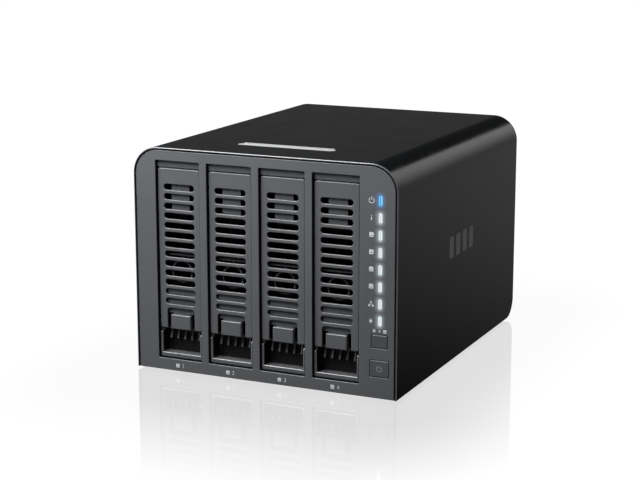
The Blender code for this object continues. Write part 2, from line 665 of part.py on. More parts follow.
def make_mainboard():
    """Main board, with the riser socket and the reset switch's body soldered on, and its plunger."""
    board = box(BOARD_X, (deep(BOARD_Y[0]), deep(BOARD_Y[1])), (BOARD_LOW, BOARD_TOP))
    riser_y = (deep(BACKPLANE_FRONT + GAP), deep(BACKPLANE_FRONT + 6 * MM))
    riser = box((-25 * MM, 25 * MM), riser_y, (SOLDERED, BACKPLANE_LOW - GAP))
    x, z = RESET
    front, back = deep(214 * MM), deep(220 * MM)
    switch = box((x - 4 * MM, x + 4 * MM), (front, back), (SOLDERED, z + 3.5 * MM))
    cut(switch, disc("Y", RESET, RESET_R + GAP, front + 2 * MM, back + PAST, 12))
    named(unite(board, riser, switch), "mainboard", "circuit_board")
    plunger = disc("Y", RESET, RESET_R, front + 3.5 * MM, deep(REAR_INNER - 0.8 * MM), 12)
    origin_to(named(plunger, "reset_button", "socket_black", 40), (x, deep(REAR_INNER), z))


def make_standoffs():
    """Hexagonal pillars under the corners of the main board."""
    inset = 6 * MM
    pillar = disc("Z", (0, 0), 2.6 * MM, BASE_HIGH + GAP, BOARD_LOW - GAP, 6)
    named(pillar, "standoff_1", "port_metal")
    spots = [
        (x, y, 0)
        for y in (deep(BOARD_Y[0] + inset), deep(BOARD_Y[1] - inset))
        for x in (BOARD_X[0] + inset, BOARD_X[1] - inset)
    ]
    pillar.location = spots[0]
    for i, spot in enumerate(spots[1:], start=2):
        copy_at(pillar, f"standoff_{i}", spot)


def make_board_parts():
    """The clock battery and the processor's finned heatsink."""
    cell = disc("Z", (-62 * MM, deep(196 * MM)), 10 * MM, SEAT, SEAT + 3.2 * MM, 24)
    named(cell, "clock_battery", "port_metal", 40)

    sink_x, sink_y = (-40 * MM, -4 * MM), (deep(178 * MM), deep(210 * MM))
    base_t, fins, fin_t, fin_top = 3 * MM, 8, 1.2 * MM, SEAT + 15 * MM
    sink = box(sink_x, sink_y, (SEAT, SEAT + base_t))
    pitch = (sink_x[1] - sink_x[0] - fin_t) / (fins - 1)
    for i in range(fins):
        x = sink_x[0] + i * pitch
        unite(sink, box((x, x + fin_t), sink_y, (SEAT + base_t / 2, fin_top)))
    named(sink, "heatsink", "heatsink_alloy")


PORT_BACK = REAR_FACE + 0.8 * MM
LAN_X, LAN_SIZE = 30 * MM, (16 * MM, 13.5 * MM)  # centre, and width and height
USB_X, USB_SIZE = 6 * MM, (14.5 * MM, 15.6 * MM)
INLET_X, INLET_SIZE = 56 * MM, (10 * MM, 11 * MM)
PORTS = ((LAN_X, LAN_SIZE), (USB_X, USB_SIZE), (INLET_X, INLET_SIZE))


def port_block(x, size, length):
    """The block of a socket that stands on the main board and reaches through the rear panel."""
    width, height = size
    y = (deep(PORT_BACK - length), deep(PORT_BACK))
    return box((x - width / 2, x + width / 2), y, (SEAT, SEAT + height))


def make_lan_port():
    """Network socket, open to the rear."""
    half, low, high = 5.9 * MM, SEAT + 2 * MM, SEAT + 10 * MM
    mouth_y = (deep(PORT_BACK - 13 * MM), deep(PORT_BACK + PAST))
    mouth = box((LAN_X - half, LAN_X + half), mouth_y, (low, high))
    named(cut(port_block(LAN_X, LAN_SIZE, 20 * MM), mouth), "lan_port", "port_metal")


def make_usb_ports():
    """Two USB sockets in one shell, one above the other, each with its tongue."""
    mouth_y = (deep(PORT_BACK - 9 * MM), deep(PORT_BACK + PAST))
    tongue_y = (deep(PORT_BACK - 10 * MM), deep(PORT_BACK - 1.2 * MM))
    mouth_half, mouth_h = 6.25 * MM, 5.1 * MM
    tongue_half, tongue_z = 5.5 * MM, (2.6 * MM, 4.3 * MM)
    mouths, tongues = [], []
    for low in (SEAT + 1.6 * MM, SEAT + 8.9 * MM):
        mouths.append(box((USB_X - mouth_half, USB_X + mouth_half), mouth_y, (low, low + mouth_h)))
        z = (low + tongue_z[0], low + tongue_z[1])
        tongues.append(box((USB_X - tongue_half, USB_X + tongue_half), tongue_y, z))
    usb = unite(cut(port_block(USB_X, USB_SIZE, 17 * MM), *mouths), *tongues)
    named(usb, "usb_ports", "port_metal")


def make_power_inlet():
    """Round low-voltage inlet with its centre pin."""
    centre = (INLET_X, SEAT + INLET_SIZE[1] / 2)
    hole = disc("Y", centre, 3.3 * MM, deep(PORT_BACK - 9 * MM), deep(PORT_BACK + PAST), 16)
    pin = disc("Y", centre, 1.0 * MM, deep(PORT_BACK - 10 * MM), deep(PORT_BACK - 1 * MM), 10)
    inlet = unite(cut(port_block(INLET_X, INLET_SIZE, 14 * MM), hole), pin)
    named(inlet, "power_inlet", "socket_black")


# --- Rear panel and fan -------------------------------------------------------------------------
FAN_CENTRE = (0.0, 88 * MM)
FAN_SIDE, FAN_DEPTH = 92 * MM, 25 * MM
FAN_BORE_R = 44.0 * MM
FAN_HOLES = 82.5 * MM / 2  # half the spacing of the fixing holes
FAN_BACK = REAR_INNER - GAP
ROTOR_R, HUB_R = 42 * MM, 19 * MM
BLADES = 7
GRILLE_R, HEX_PITCH, HEX_R = 43.5 * MM, 9.6 * MM, 4.8 * MM
SCREW_X, SCREW_Z = 82 * MM, (12 * MM, 128 * MM)
FAN_HOLE_R, PANEL_HOLE_R = 2.3 * MM, 1.8 * MM


def fan_corners():
    cx, cz = FAN_CENTRE
    return [(cx + sx * FAN_HOLES, cz + sz * FAN_HOLES) for sx in (-1, 1) for sz in (-1, 1)]


def hex_centres():
    """Centres of the grille's holes: a triangular lattice inside the grille's circle."""
    row_pitch = HEX_PITCH * math.sqrt(3) / 2
    reach = int(GRILLE_R / row_pitch) + 1
    found = []
    for row in range(-reach, reach + 1):
        shift = HEX_PITCH / 2 if row % 2 else 0.0
        for column in range(-reach, reach + 1):
            x, z = column * HEX_PITCH + shift, row * row_pitch
            if math.hypot(x, z) + HEX_R < GRILLE_R:
                found.append((FAN_CENTRE[0] + x, FAN_CENTRE[1] + z))
    return found


def make_rear_panel():
    """Steel panel with a honeycomb grille, holes for the screws and cut-outs for the ports."""
    inset = COVER_WALL + 0.4 * MM
    outline = arch(CASE_W / 2 - inset, CASE_H - inset, CASE_R - inset, BASE_LOW, 8)
    panel = prism(outline, "Y", deep(REAR_INNER), deep(REAR_FACE))
    past = (deep(REAR_INNER - PAST), deep(REAR_FACE + PAST))
    cutters = [prism(arc(c, HEX_R, 30, 330, 5), "Y", *past) for c in hex_centres()]
    cutters += [disc("Y", c, FAN_HOLE_R, *past, 10) for c in fan_corners()]
    cutters += [disc("Y", (x, z), PANEL_HOLE_R, *past, 10) for x in (-SCREW_X, SCREW_X) for z in SCREW_Z]
    around = 0.4 * MM
    for x, (width, height) in PORTS:
        opening = rounded((x, SEAT + height / 2), width + 2 * around, height + 2 * around, 0.3 * MM, 1)
        cutters.append(prism(opening, "Y", *past))
    cutters.append(disc("Y", RESET, 1.0 * MM, *past, 10))  # pinhole in front of the reset button
    lock_slot = rounded((-80 * MM, 40 * MM), 3 * MM, 7 * MM, 1 * MM, 2)
    cutters.append(prism(lock_slot, "Y", *past))
    return named(cut(panel, *cutters), "rear_panel", "rear_paint")


def pan_head_screw(head_r, head_t, shank_r, length, material):
    """A screw along +Y whose head's underside is at y = 0, with a cross recess in a domed head."""
    rows = ((head_r, 0.0), (head_r, 0.45 * head_t), (0.62 * head_r, head_t))
    bm = bmesh.new()
    steps = 12
    rings = [
        [
            bm.verts.new((r * math.cos(2 * math.pi * k / steps), y, r * math.sin(2 * math.pi * k / steps)))
            for k in range(steps)
        ]
        for r, y in rows
    ]
    bm.faces.new(rings[0])
    bm.faces.new(rings[-1])
    for near, far in zip(rings, rings[1:]):
        for k in range(steps):
            bm.faces.new((near[k], near[(k + 1) % steps], far[(k + 1) % steps], far[k]))
    head = object_from(bm)
    unite(head, disc("Y", (0, 0), shank_r, -length, 0.2 * head_t, 10))
    arm, half = 0.46 * head_r, 0.12 * head_r
    cross = [
        (arm, -half), (arm, half), (half, half), (half, arm), (-half, arm), (-half, half),
        (-arm, half), (-arm, -half), (-half, -half), (-half, -arm), (half, -arm), (half, -half),
    ]
    cut(head, prism(cross, "Y", 0.55 * head_t, 2 * head_t))
    return named(head, "screw", material, 40)


def make_screws():
    """Four screws that hold the rear panel, and four coarser ones that hold the fan."""
    seat = deep(REAR_FACE + GAP)
    panel_spots = [(x, seat, z) for x in (-SCREW_X, SCREW_X) for z in SCREW_Z]
    fan_spots = [(x, seat, z) for x, z in fan_corners()]
    groups = (
        ("rear_screw_", pan_head_screw(3.0 * MM, 1.9 * MM, 1.45 * MM, 5 * MM, "port_metal"), panel_spots),
        ("fan_screw_", pan_head_screw(3.7 * MM, 1.9 * MM, 1.9 * MM, 9 * MM, "port_metal"), fan_spots),
    )
    for stem, screw, spots in groups:
        screw.name = f"{stem}1"
        screw.location = spots[0]
        for i, spot in enumerate(spots[1:], start=2):
            copy_at(screw, f"{stem}{i}", spot)


def make_fan_frame():
    """Square fan housing with a round duct, and a motor seat held by four struts."""
    low, high = deep(FAN_BACK - FAN_DEPTH), deep(FAN_BACK)
    frame = prism(rounded(FAN_CENTRE, FAN_SIDE, FAN_SIDE, 5 * MM), "Y", low, high)
    duct = disc("Y", FAN_CENTRE, FAN_BORE_R, low - PAST, high + PAST, 40)
    holes = [disc("Y", c, FAN_HOLE_R, low - PAST, high + PAST, 10) for c in fan_corners()]
    cut(frame, duct, *holes)
    cx, cz = FAN_CENTRE
    strut_y, half = (low, low + 3 * MM), 1.6 * MM
    reach = FAN_BORE_R + 0.8 * MM
    seat = disc("Y", FAN_CENTRE, HUB_R, *strut_y, 24)
    unite(
        seat,
        box((cx - reach, cx + reach), strut_y, (cz - half, cz + half)),
        box((cx - half, cx + half), strut_y, (cz - reach, cz + reach)),
    )
    return named(unite(frame, seat), "fan_frame", "fan_black", 40)


def blade(turn, middle):
    """One lofted blade at this angle, pitched about its own radius and swept towards its tip."""
    stations, thickness, root = 5, 1.5 * MM, HUB_R - 2 * MM
    axis = Vector((0, 1, 0))
    bm = bmesh.new()
    rings = []
    for s in range(stations):
        t = s / (stations - 1)
        angle = turn + 0.30 * t * t
        half_chord = (9 + 3 * t) * MM
        pitch = math.radians(52 - 16 * t)
        radial = Vector((math.cos(angle), 0, math.sin(angle)))
        around = Vector((-math.sin(angle), 0, math.cos(angle)))
        along = (around * math.cos(pitch) + axis * math.sin(pitch)) * half_chord
        normal = (axis * math.cos(pitch) - around * math.sin(pitch)) * thickness / 2
        centre = radial * (root + t * (ROTOR_R - root)) + axis * middle
        corners = (-along - normal, along - normal, along + normal, normal - along)
        rings.append([bm.verts.new(centre + corner) for corner in corners])
    bm.faces.new(rings[0])
    bm.faces.new(rings[-1])
    for near, far in zip(rings, rings[1:]):
        for k in range(4):
            bm.faces.new((near[k], near[(k + 1) % 4], far[(k + 1) % 4], far[k]))
    return object_from(bm)


def make_fan_rotor():
    """Hub with seven swept blades."""
    low, high = FAN_BACK - FAN_DEPTH + 4 * MM, FAN_BACK - 2 * MM
    rotor = disc("Y", (0, 0), HUB_R, 0, high - low, 28)
    for i in range(BLADES):
        unite(rotor, blade(2 * math.pi * i / BLADES, (high - low) / 2))
    named(rotor, "fan_rotor", "fan_black", 40)
    rotor.location = (FAN_CENTRE[0], deep(low), FAN_CENTRE[1])


def smooth_route(points, spacing):
    """Points at about this spacing on a Catmull-Rom curve through the given ones."""
    spots = [Vector(p) for p in points]
    spots = [2 * spots[0] - spots[1], *spots, 2 * spots[-1] - spots[-2]]
    route = []
    for a, b, c, d in zip(spots, spots[1:], spots[2:], spots[3:]):
        steps = max(1, round((c - b).length / spacing))
        for i in range(steps):
            t = i / steps
            linear, square, cube = c - a, 2 * a - 5 * b + 4 * c - d, 3 * b - a - 3 * c + d
            route.append(0.5 * (2 * b + linear * t + square * t**2 + cube * t**3))
    return [*route, spots[-2]]


def make_fan_lead():
    """Lead from the fan housing's lower edge down to the main board, held at both ends."""
    radius = 1.2 * MM
    start_z = FAN_CENTRE[1] - FAN_SIDE / 2 - GAP
    points = [
        (30 * MM, deep(212 * MM), start_z),
        (30 * MM, deep(212 * MM), start_z - 5 * MM),
        (26 * MM, deep(206 * MM), start_z - 15 * MM),
        (18 * MM, deep(196 * MM), start_z - 20 * MM),
        (12 * MM, deep(188 * MM), start_z - 26 * MM),
        (11 * MM, deep(186 * MM), SEAT),
    ]
    curve = bpy.data.curves.new("fan_lead", "CURVE")
    curve.dimensions = "3D"
    curve.bevel_depth = radius
    curve.bevel_resolution = 2
    curve.use_fill_caps = True
    route = smooth_route(points, 3 * radius)
    spline = curve.splines.new("POLY")
    spline.points.add(len(route) - 1)
    for spot, point in zip(spline.points, route):
        spot.co = (*point, 1)
    curve.materials.append(finish("socket_black"))
    lead = bpy.data.objects.new("fan_lead", curve)
    bpy.context.collection.objects.link(lead)


def main():
    clear_scene()
    make_cover()
    make_accent_bar()
    make_bezel()
    for name in BUTTONS:
        make_button(name)
    make_light_guide()
    make_front_board()
    make_base()
    make_feet()
    make_bays()
    make_cage()
    make_backplane()
    make_sockets()
    make_mainboard()
    make_standoffs()
    make_board_parts()
    make_lan_port()
    make_usb_ports()
    make_power_inlet()
    make_rear_panel()
    make_fan_frame()
    make_fan_rotor()
    make_screws()
    make_fan_lead()


main()
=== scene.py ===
"""Looks of the four-bay network storage enclosure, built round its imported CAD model.

The frame is the CAD model's: the origin on the floor under the middle of the case, the front facing
-Y, +Z up, in metres. Depths are measured from the front edge of the cover with deep().
"""

import json
import math
from functools import reduce

import bmesh
import bpy
from mathutils import Matrix, Vector
from mathutils.geometry import tessellate_polygon

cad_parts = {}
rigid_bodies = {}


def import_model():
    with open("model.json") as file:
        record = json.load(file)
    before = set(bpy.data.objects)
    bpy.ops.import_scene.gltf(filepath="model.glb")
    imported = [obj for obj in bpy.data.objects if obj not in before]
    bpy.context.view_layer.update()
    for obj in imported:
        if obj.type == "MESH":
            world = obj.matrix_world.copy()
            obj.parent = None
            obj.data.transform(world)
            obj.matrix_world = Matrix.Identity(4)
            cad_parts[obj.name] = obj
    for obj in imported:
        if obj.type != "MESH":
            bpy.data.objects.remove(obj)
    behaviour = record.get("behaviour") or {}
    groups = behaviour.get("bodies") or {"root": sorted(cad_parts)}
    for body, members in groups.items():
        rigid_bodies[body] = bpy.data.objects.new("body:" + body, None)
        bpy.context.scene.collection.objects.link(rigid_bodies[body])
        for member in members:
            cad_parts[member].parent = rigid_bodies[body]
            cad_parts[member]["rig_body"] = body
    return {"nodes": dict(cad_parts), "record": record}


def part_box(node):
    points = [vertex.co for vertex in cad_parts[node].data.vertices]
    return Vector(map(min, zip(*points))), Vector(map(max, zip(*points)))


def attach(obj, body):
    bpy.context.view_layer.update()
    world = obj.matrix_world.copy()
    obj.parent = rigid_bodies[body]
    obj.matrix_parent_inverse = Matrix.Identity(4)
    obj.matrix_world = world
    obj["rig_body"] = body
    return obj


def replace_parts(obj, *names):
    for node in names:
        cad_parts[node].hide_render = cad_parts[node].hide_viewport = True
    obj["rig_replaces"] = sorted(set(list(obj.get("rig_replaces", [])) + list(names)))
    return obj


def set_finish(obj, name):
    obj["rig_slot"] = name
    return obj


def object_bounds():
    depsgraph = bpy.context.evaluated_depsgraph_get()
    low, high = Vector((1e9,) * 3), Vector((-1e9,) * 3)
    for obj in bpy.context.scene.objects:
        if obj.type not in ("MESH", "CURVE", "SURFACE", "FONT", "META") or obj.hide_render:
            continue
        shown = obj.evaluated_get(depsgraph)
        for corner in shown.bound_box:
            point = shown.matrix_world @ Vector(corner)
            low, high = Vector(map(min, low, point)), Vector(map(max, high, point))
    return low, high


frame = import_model()
CAD_LOW, CAD_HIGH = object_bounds()

MM = 0.001


# --- Dimensions, read from the CAD model where it has them ---
def middle_of(node):
    low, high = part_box(node)
    return (low + high) / 2


def face_of(node):
    """Centre (x, z), width, height, foremost y and rearmost y of a CAD node."""
    low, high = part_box(node)
    return ((low.x + high.x) / 2, (low.z + high.z) / 2), high.x - low.x, high.z - low.z, low.y, high.y


CASE_W = CAD_HIGH.x - CAD_LOW.x
CASE_D = CAD_HIGH.y - CAD_LOW.y
CASE_H = CAD_HIGH.z
FRONT_Y = CAD_LOW.y
CASE_R = 18 * MM
FOOT_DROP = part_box("outer_cover")[0].z
COVER_WALL = 1.3 * MM
COVER_RIM, REAR_RIM, REAR_CORNER_R = 0.65 * MM, 0.4 * MM, 14 * MM
FLANGE_W, FLANGE_T = 8 * MM, 1.2 * MM
BEZEL_LOW, BEZEL_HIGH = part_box("front_bezel")
BAY_COUNT = 4
BAYS = [middle_of(f"drive_tray_{i + 1}").x for i in range(BAY_COUNT)]
BAY_W, BAY_Z = 32.6 * MM, (9.5 * MM, 143.5 * MM)
COLUMN_X = middle_of("light_guide").x
LIGHT_COUNT, LIGHT_TOP, LIGHT_PITCH = 8, 129 * MM, 11 * MM
LIGHT_W, LIGHT_L, LIGHT_GAP = 2.3 * MM, 6.5 * MM, 0.3 * MM
GLOW_FADE, GLOW_FALL = (0.45 * LIGHT_W, 2.3 * LIGHT_W), 2.6  # from a light's axis, and how steeply
SLOT_COUNT, SLOT_PITCH, SLOT_TOP = 13, 6.42 * MM, 125.8 * MM
SLOT_W, SLOT_H = 22.3 * MM, 3.9 * MM
ACCENT_W, ACCENT_L, ACCENT_R = 70.5 * MM, 8.4 * MM, 3.9 * MM
BUTTONS = ("copy_button", "power_button")
BUTTON_LIP = 2.4 * MM  # how much wider a button's flange is than its cap
BUTTON_GAP, BUTTON_R = 0.6 * MM, 0.7 * MM
PAST = 1 * MM  # how far a cutter runs past what it cuts
SAME = 1e-7  # points of an outline nearer than this are one


def deep(depth):
    """The y coordinate this far behind the front edge of the cover."""
    return depth + FRONT_Y


def light_z(index):
    return LIGHT_TOP - index * LIGHT_PITCH


def about(middle, half):
    return middle - half, middle + half


def on_side(x, side, near, far):
    """The range between two distances to the right (side 1) or left (side -1) of x."""
    return sorted((x + side * near, x + side * far))


# --- Outlines ---
def arc(centre, radius, start, end, steps):
    """Points on an arc, from start to end in degrees, both ends included."""
    turns = [math.radians(start + (end - start) * i / steps) for i in range(steps + 1)]
    return [(centre[0] + radius * math.cos(t), centre[1] + radius * math.sin(t)) for t in turns]


def heading(start, end):
    """The unit direction from one corner to another."""
    length = math.dist(start[:2], end[:2])
    return (end[0] - start[0]) / length, (end[1] - start[1]) / length


def softened(corners):
    """An outline of square corners (x, z) or (x, z, radius, steps), rounded by their radius."""
    points = []
    for k, corner in enumerate(corners):
        x, z, *soft = corner
        radius, steps = soft or (0, 1)
        bx, bz = heading(corner, corners[k - 1])
        ax, az = heading(corner, corners[(k + 1) % len(corners)])
        for i in range(steps + 1):
            t = math.pi / 2 * i / steps
            back, ahead = radius * (1 - math.sin(t)), radius * (1 - math.cos(t))
            points.append((x + back * bx + ahead * ax, z + back * bz + ahead * az))
    return [p for i, p in enumerate(points) if math.dist(p, points[i - 1]) > SAME]


def symmetric(x, corners):
    """The corners right of the line at x, given by their distance from it, and their mirror images."""
    right = [(x + across, *rest) for across, *rest in corners]
    return softened([*right, *((x - across, *rest) for across, *rest in reversed(corners))])


def rounded(centre, width, height, radius, steps=6):
    """A rounded rectangle. A radius of half the height makes a slot with round ends."""
    (left, right), (low, high) = about(centre[0], width / 2), about(centre[1], height / 2)
    corners = ((right, high), (left, high), (left, low), (right, low))
    return softened([(x, z, radius, steps) for x, z in corners])


def circle(centre, radius, facets=48):
    return arc(centre, radius, 0, 360 - 360 / facets, facets - 1)


def arch(inset, low):
    """The case's upside-down U outline, moved in by this inset, from the lower right to the lower left."""
    half = CASE_W / 2 - inset
    return symmetric(0, [(half, low), (half, CASE_H - inset, CASE_R - inset, 20)])


def moved_in(outline, distance):
    """The outline with its edges moved inwards, or outwards if the distance is negative."""
    area = sum(a[0] * b[1] - b[0] * a[1] for a, b in zip(outline, outline[1:] + outline[:1]))
    side = math.copysign(distance, area * distance)
    moved = []
    for i, point in enumerate(outline):
        here = Vector(point)
        before = (here - Vector(outline[i - 1])).normalized()
        after = (Vector(outline[(i + 1) % len(outline)]) - here).normalized()
        miter = Vector((-before.y - after.y, before.x + after.x)) / (1 + before.dot(after))
        moved.append(tuple(here + side * miter))
    return moved


# --- Meshes ---
PLACES = {
    "X": lambda a, b, t: (t, a, b),
    "Y": lambda a, b, t: (a, t, b),
    "Z": lambda a, b, t: (a, b, t),
}


def object_from(bm, name="shape"):
    """Links the bmesh to the scene as an object, with its faces pointing out."""
    bmesh.ops.recalc_face_normals(bm, faces=bm.faces)
    mesh = bpy.data.meshes.new(name)
    bm.to_mesh(mesh)
    bm.free()
    made = bpy.data.objects.new(name, mesh)
    bpy.context.collection.objects.link(made)
    return made


def skinned(bm, rings):
    """Joins rings of points by faces and returns their vertices."""
    made = [[bm.verts.new(point) for point in ring] for ring in rings]
    for near, far in zip(made, made[1:]):
        for k in range(len(near)):
            j = (k + 1) % len(near)
            bm.faces.new((near[k], near[j], far[j], far[k]))
    return made


def lofted(rings):
    """A solid through rings of points, closed at both ends."""
    bm = bmesh.new()
    made = skinned(bm, rings)
    bm.faces.new(made[0])
    bm.faces.new(made[-1])
    return object_from(bm)


def capped(bm, loops):
    """Fills the flat region inside the first loop of vertices and outside the others."""
    flat = [v for loop in loops for v in loop]
    for triangle in tessellate_polygon([[v.co for v in loop] for loop in loops]):
        bm.faces.new([flat[i] for i in triangle])


def quarter_round(place, radius, way, steps):
    """(inset, place) pairs of a rounded edge, from its end face on."""
    turns = [math.pi / 2 * i / steps for i in range(steps + 1)] if radius else [math.pi / 2]
    return [(radius * (1 - math.sin(t)), place + way * radius * (1 - math.cos(t))) for t in turns]


def plate(outline, holes, axis, start, end, edge, end_edge=0.0, steps=3):
    """A flat piece with holes. The edges at its start face, and those of its holes, are rounded."""
    way = math.copysign(1, end - start)
    profile = quarter_round(start, edge, way, steps) + quarter_round(end, end_edge, -way, steps)[::-1]
    bm = bmesh.new()
    skins = []
    for loop, sign in ((outline, 1), *((hole, -1) for hole in holes)):
        rings = [[PLACES[axis](a, b, t) for a, b in moved_in(loop, sign * inset)] for inset, t in profile]
        skins.append(skinned(bm, rings))
    capped(bm, [rings[0] for rings in skins])
    capped(bm, [rings[-1] for rings in skins])
    return object_from(bm)


def prism(outline, axis, low, high):
    return plate(outline, (), axis, low, high, 0)


def block(x, y, z, edge=0.0):
    """A box given by its three (low, high) ranges, with its long edges and front edge rounded."""
    if edge:
        outline = rounded((sum(x) / 2, sum(z) / 2), x[1] - x[0], z[1] - z[0], edge, 3)
    else:
        outline = [(x[0], z[0]), (x[1], z[0]), (x[1], z[1]), (x[0], z[1])]
    return plate(outline, (), "Y", *y, edge * 0.95, edge * 0.95)


def disc(axis, centre, radius, low, high, facets, edge=0.0):
    return plate(circle(centre, radius, facets), (), axis, low, high, edge, edge)


def turned(profile, axis, centre, base, facets):
    """A solid turned about a line along the axis; profile is (radius, height) pairs off the base."""
    return lofted([[PLACES[axis](a, b, base + h) for a, b in circle(centre, r, facets)] for r, h in profile])


def merged(shapes):
    """Several shapes as one object."""
    bm = bmesh.new()
    for shape in shapes:
        bm.from_mesh(shape.data)
        bpy.data.objects.remove(shape)
    return object_from(bm)


def boolean(base, other, operation):
    modifier = base.modifiers.new("Boolean", "BOOLEAN")
    modifier.operation = operation
    modifier.object = other
    graph = bpy.context.evaluated_depsgraph_get()
    base.data = bpy.data.meshes.new_from_object(base.evaluated_get(graph))
    base.modifiers.clear()
    bpy.data.objects.remove(other)


def unite(base, *others):
    for other in others:
        boolean(base, other, "UNION")
    return base


def cut(base, *cutters):
    boolean(base, merged(cutters), "DIFFERENCE")
    return base


def tidied(piece):
    """Dissolves the edges that Booleans leave in flat faces."""
    bm = bmesh.new()
    bm.from_mesh(piece.data)
    bmesh.ops.remove_doubles(bm, verts=bm.verts, dist=1e-6)
    bmesh.ops.dissolve_limit(bm, angle_limit=math.radians(0.2), verts=bm.verts, edges=bm.edges)
    bm.to_mesh(piece.data)
    bm.free()


def bevelled(piece, width, segments=2):
    modifier = piece.modifiers.new("Bevel", "BEVEL")
    modifier.width = width
    modifier.segments = segments
    modifier.limit_method = "ANGLE"
    modifier.angle_limit = math.radians(50)
    return piece


def riding(piece, slot, replaces, body):
    """Lets a piece ride on its body, in a slot of the record and in place of a CAD node."""
    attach(piece, body)
    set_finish(piece, slot)
    if replaces:
        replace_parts(piece, replaces)


def placed(piece, name, paints, slot, replaces="", body="case", sharp_deg=35):
    """Names a finished piece, paints and smooths it, and lets it ride on its body."""
    piece.name = piece.data.name = name
    paints = paints if isinstance(paints, list) else [paints]
    indices = [face.material_index for face in piece.data.polygons]
    piece.data.materials.clear()
    for paint in paints:
        piece.data.materials.append(paint.material)
    if len(paints) > 1:
        piece.data.polygons.foreach_set("material_index", indices)
    piece.data.shade_smooth()
    piece.data.set_sharp_from_angle(angle=math.radians(sharp_deg))
    weighted = piece.modifiers.new("WeightedNormal", "WEIGHTED_NORMAL")
    weighted.keep_sharp = True
    riding(piece, slot, replaces, body)


def assembled(parts, name, slot, replaces):
    """Places (shape, paint) pairs as one piece."""
    paints = list(dict.fromkeys(paint for _, paint in parts))
    for shape, paint in parts:
        for face in shape.data.polygons:
            face.material_index = paints.index(paint)
    placed(merged([shape for shape, _ in parts]), name, paints, slot, replaces)


def placed_four(piece, name, paints, slot, node, body="case", sharp_deg=35):
    """Places the piece that stands for the first of four like CAD nodes, and its twins for the others.

    The twins share its mesh and modifiers. In the names {} stands for the number.
    """
    placed(piece, name.format(1), paints, slot, node.format(1), body.format(1), sharp_deg)
    for i in range(2, 5):
        twin = piece.copy()
        twin.name = name.format(i)
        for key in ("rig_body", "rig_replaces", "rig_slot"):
            if key in twin:
                del twin[key]
        bpy.context.collection.objects.link(twin)
        twin.parent = None
        twin.matrix_world = Matrix.Translation(middle_of(node.format(i)) - middle_of(node.format(1)))
        riding(twin, slot, node.format(i), body.format(i))


# --- Materials ---
class Nodes:
    """The nodes of a material or world. An input takes a number, a tuple or another node's output."""

    def __init__(self, owner):
        owner.use_nodes = True
        self.tree = owner.node_tree

    def feed(self, node, inputs):
        for key, value in inputs.items():
            if isinstance(value, bpy.types.NodeSocket):
                self.tree.links.new(value, node.inputs[key])
            else:
                node.inputs[key].default_value = value

    def node(self, kind, inputs=None, **settings):
        made = self.tree.nodes.new("ShaderNode" + kind)
        for key, value in settings.items():
            setattr(made, key, value)
        self.feed(made, inputs or {})
        return made

    def math(self, operation, a, b=0.0):
        return self.node("Math", {0: a, 1: b}, operation=operation).outputs[0]

    def vector(self, operation, a, b=(0, 0, 0), output="Vector"):
        return self.node("VectorMath", {0: a, 1: b}, operation=operation).outputs[output]

    def times(self, *factors):
        return reduce(lambda a, b: self.math("MULTIPLY", a, b), factors)

    def plus(self, *terms):
        return reduce(lambda a, b: self.math("ADD", a, b), terms)

    def minus(self, a, b):
        return self.math("SUBTRACT", a, b)

    def split(self, vector):
        return self.node("SeparateXYZ", {0: vector}).outputs

    def spread(self, source, low, high, clip=(0.3, 0.7), way="LINEAR"):
        """The source mapped from the clip range to low..high."""
        inputs = {"Value": source, "From Min": clip[0], "From Max": clip[1], "To Min": low, "To Max": high}
        return self.node("MapRange", inputs, interpolation_type=way).outputs["Result"]

    def ramp(self, source, start, end):
        """From 0 at start to 1 at end, with a soft start and end."""
        return self.spread(source, 0, 1, (start, end), "SMOOTHSTEP")


class Paint(Nodes):
    """A Principled material under construction."""

    def __init__(self, name, colour, roughness, metallic=0.0, **sockets):
        self.material = bpy.data.materials.new(name)
        super().__init__(self.material)
        self.colour, self.roughness = colour, roughness
        self.look(Base_Color=(*colour, 1), Roughness=roughness, Metallic=metallic, **sockets)
        self.place = self.node("TexCoord").outputs["Object"]

    def look(self, **sockets):
        """Sets or links inputs of the shader, named with _ for their spaces."""
        inputs = {key.replace("_", " "): value for key, value in sockets.items()}
        self.feed(self.tree.nodes["Principled BSDF"], inputs)
        return self

    def noise(self, size, detail=2.0, place=None):
        """A noise whose features are about this many metres across."""
        inputs = {"Vector": place or self.place, "Scale": 1 / size, "Detail": detail}
        return self.node("TexNoise", inputs).outputs["Fac"]

    def cells(self, feature, scale, randomness):
        inputs = {"Vector": self.place, "Scale": scale, "Randomness": randomness}
        return self.node("TexVoronoi", inputs, feature=feature).outputs

    def mix(self, factor, first, second):
        first, second = ((*c, 1) if isinstance(c, tuple) else c for c in (first, second))
        inputs = {"Factor": factor, "A": first, "B": second}
        return self.node("Mix", inputs, data_type="RGBA").outputs["Result"]

    def shade(self, share):
        return tuple(c * share for c in self.colour)

    def mottle(self, size, share):
        """Lets the colour drift by this share either way over patches of this size."""
        blend = self.spread(self.noise(size, 3), 0, 1)
        return self.look(Base_Color=self.mix(blend, self.shade(1 - share), self.shade(1 + share)))

    def uneven(self, size, amount):
        """Lets the roughness drift."""
        drift = self.spread(self.noise(size, 3), self.roughness - amount, self.roughness + amount)
        return self.look(Roughness=drift)

    def bumps(self, height, depth, strength=1.0):
        inputs = {"Strength": strength, "Distance": depth, "Height": height}
        return self.look(Normal=self.node("Bump", inputs).outputs["Normal"])


def moulded(name, colour, roughness, grain, depth, **sockets):
    """Moulded plastic or powder coat: a fine even grain, and colour and gloss that drift a little.

    The grain's size and depth are in millimetres.
    """
    paint = Paint(name, colour, roughness, **sockets)
    paint.mottle(45 * MM, 0.05).uneven(18 * MM, 0.03)
    return paint.bumps(paint.noise(grain * MM, 2), depth * MM)


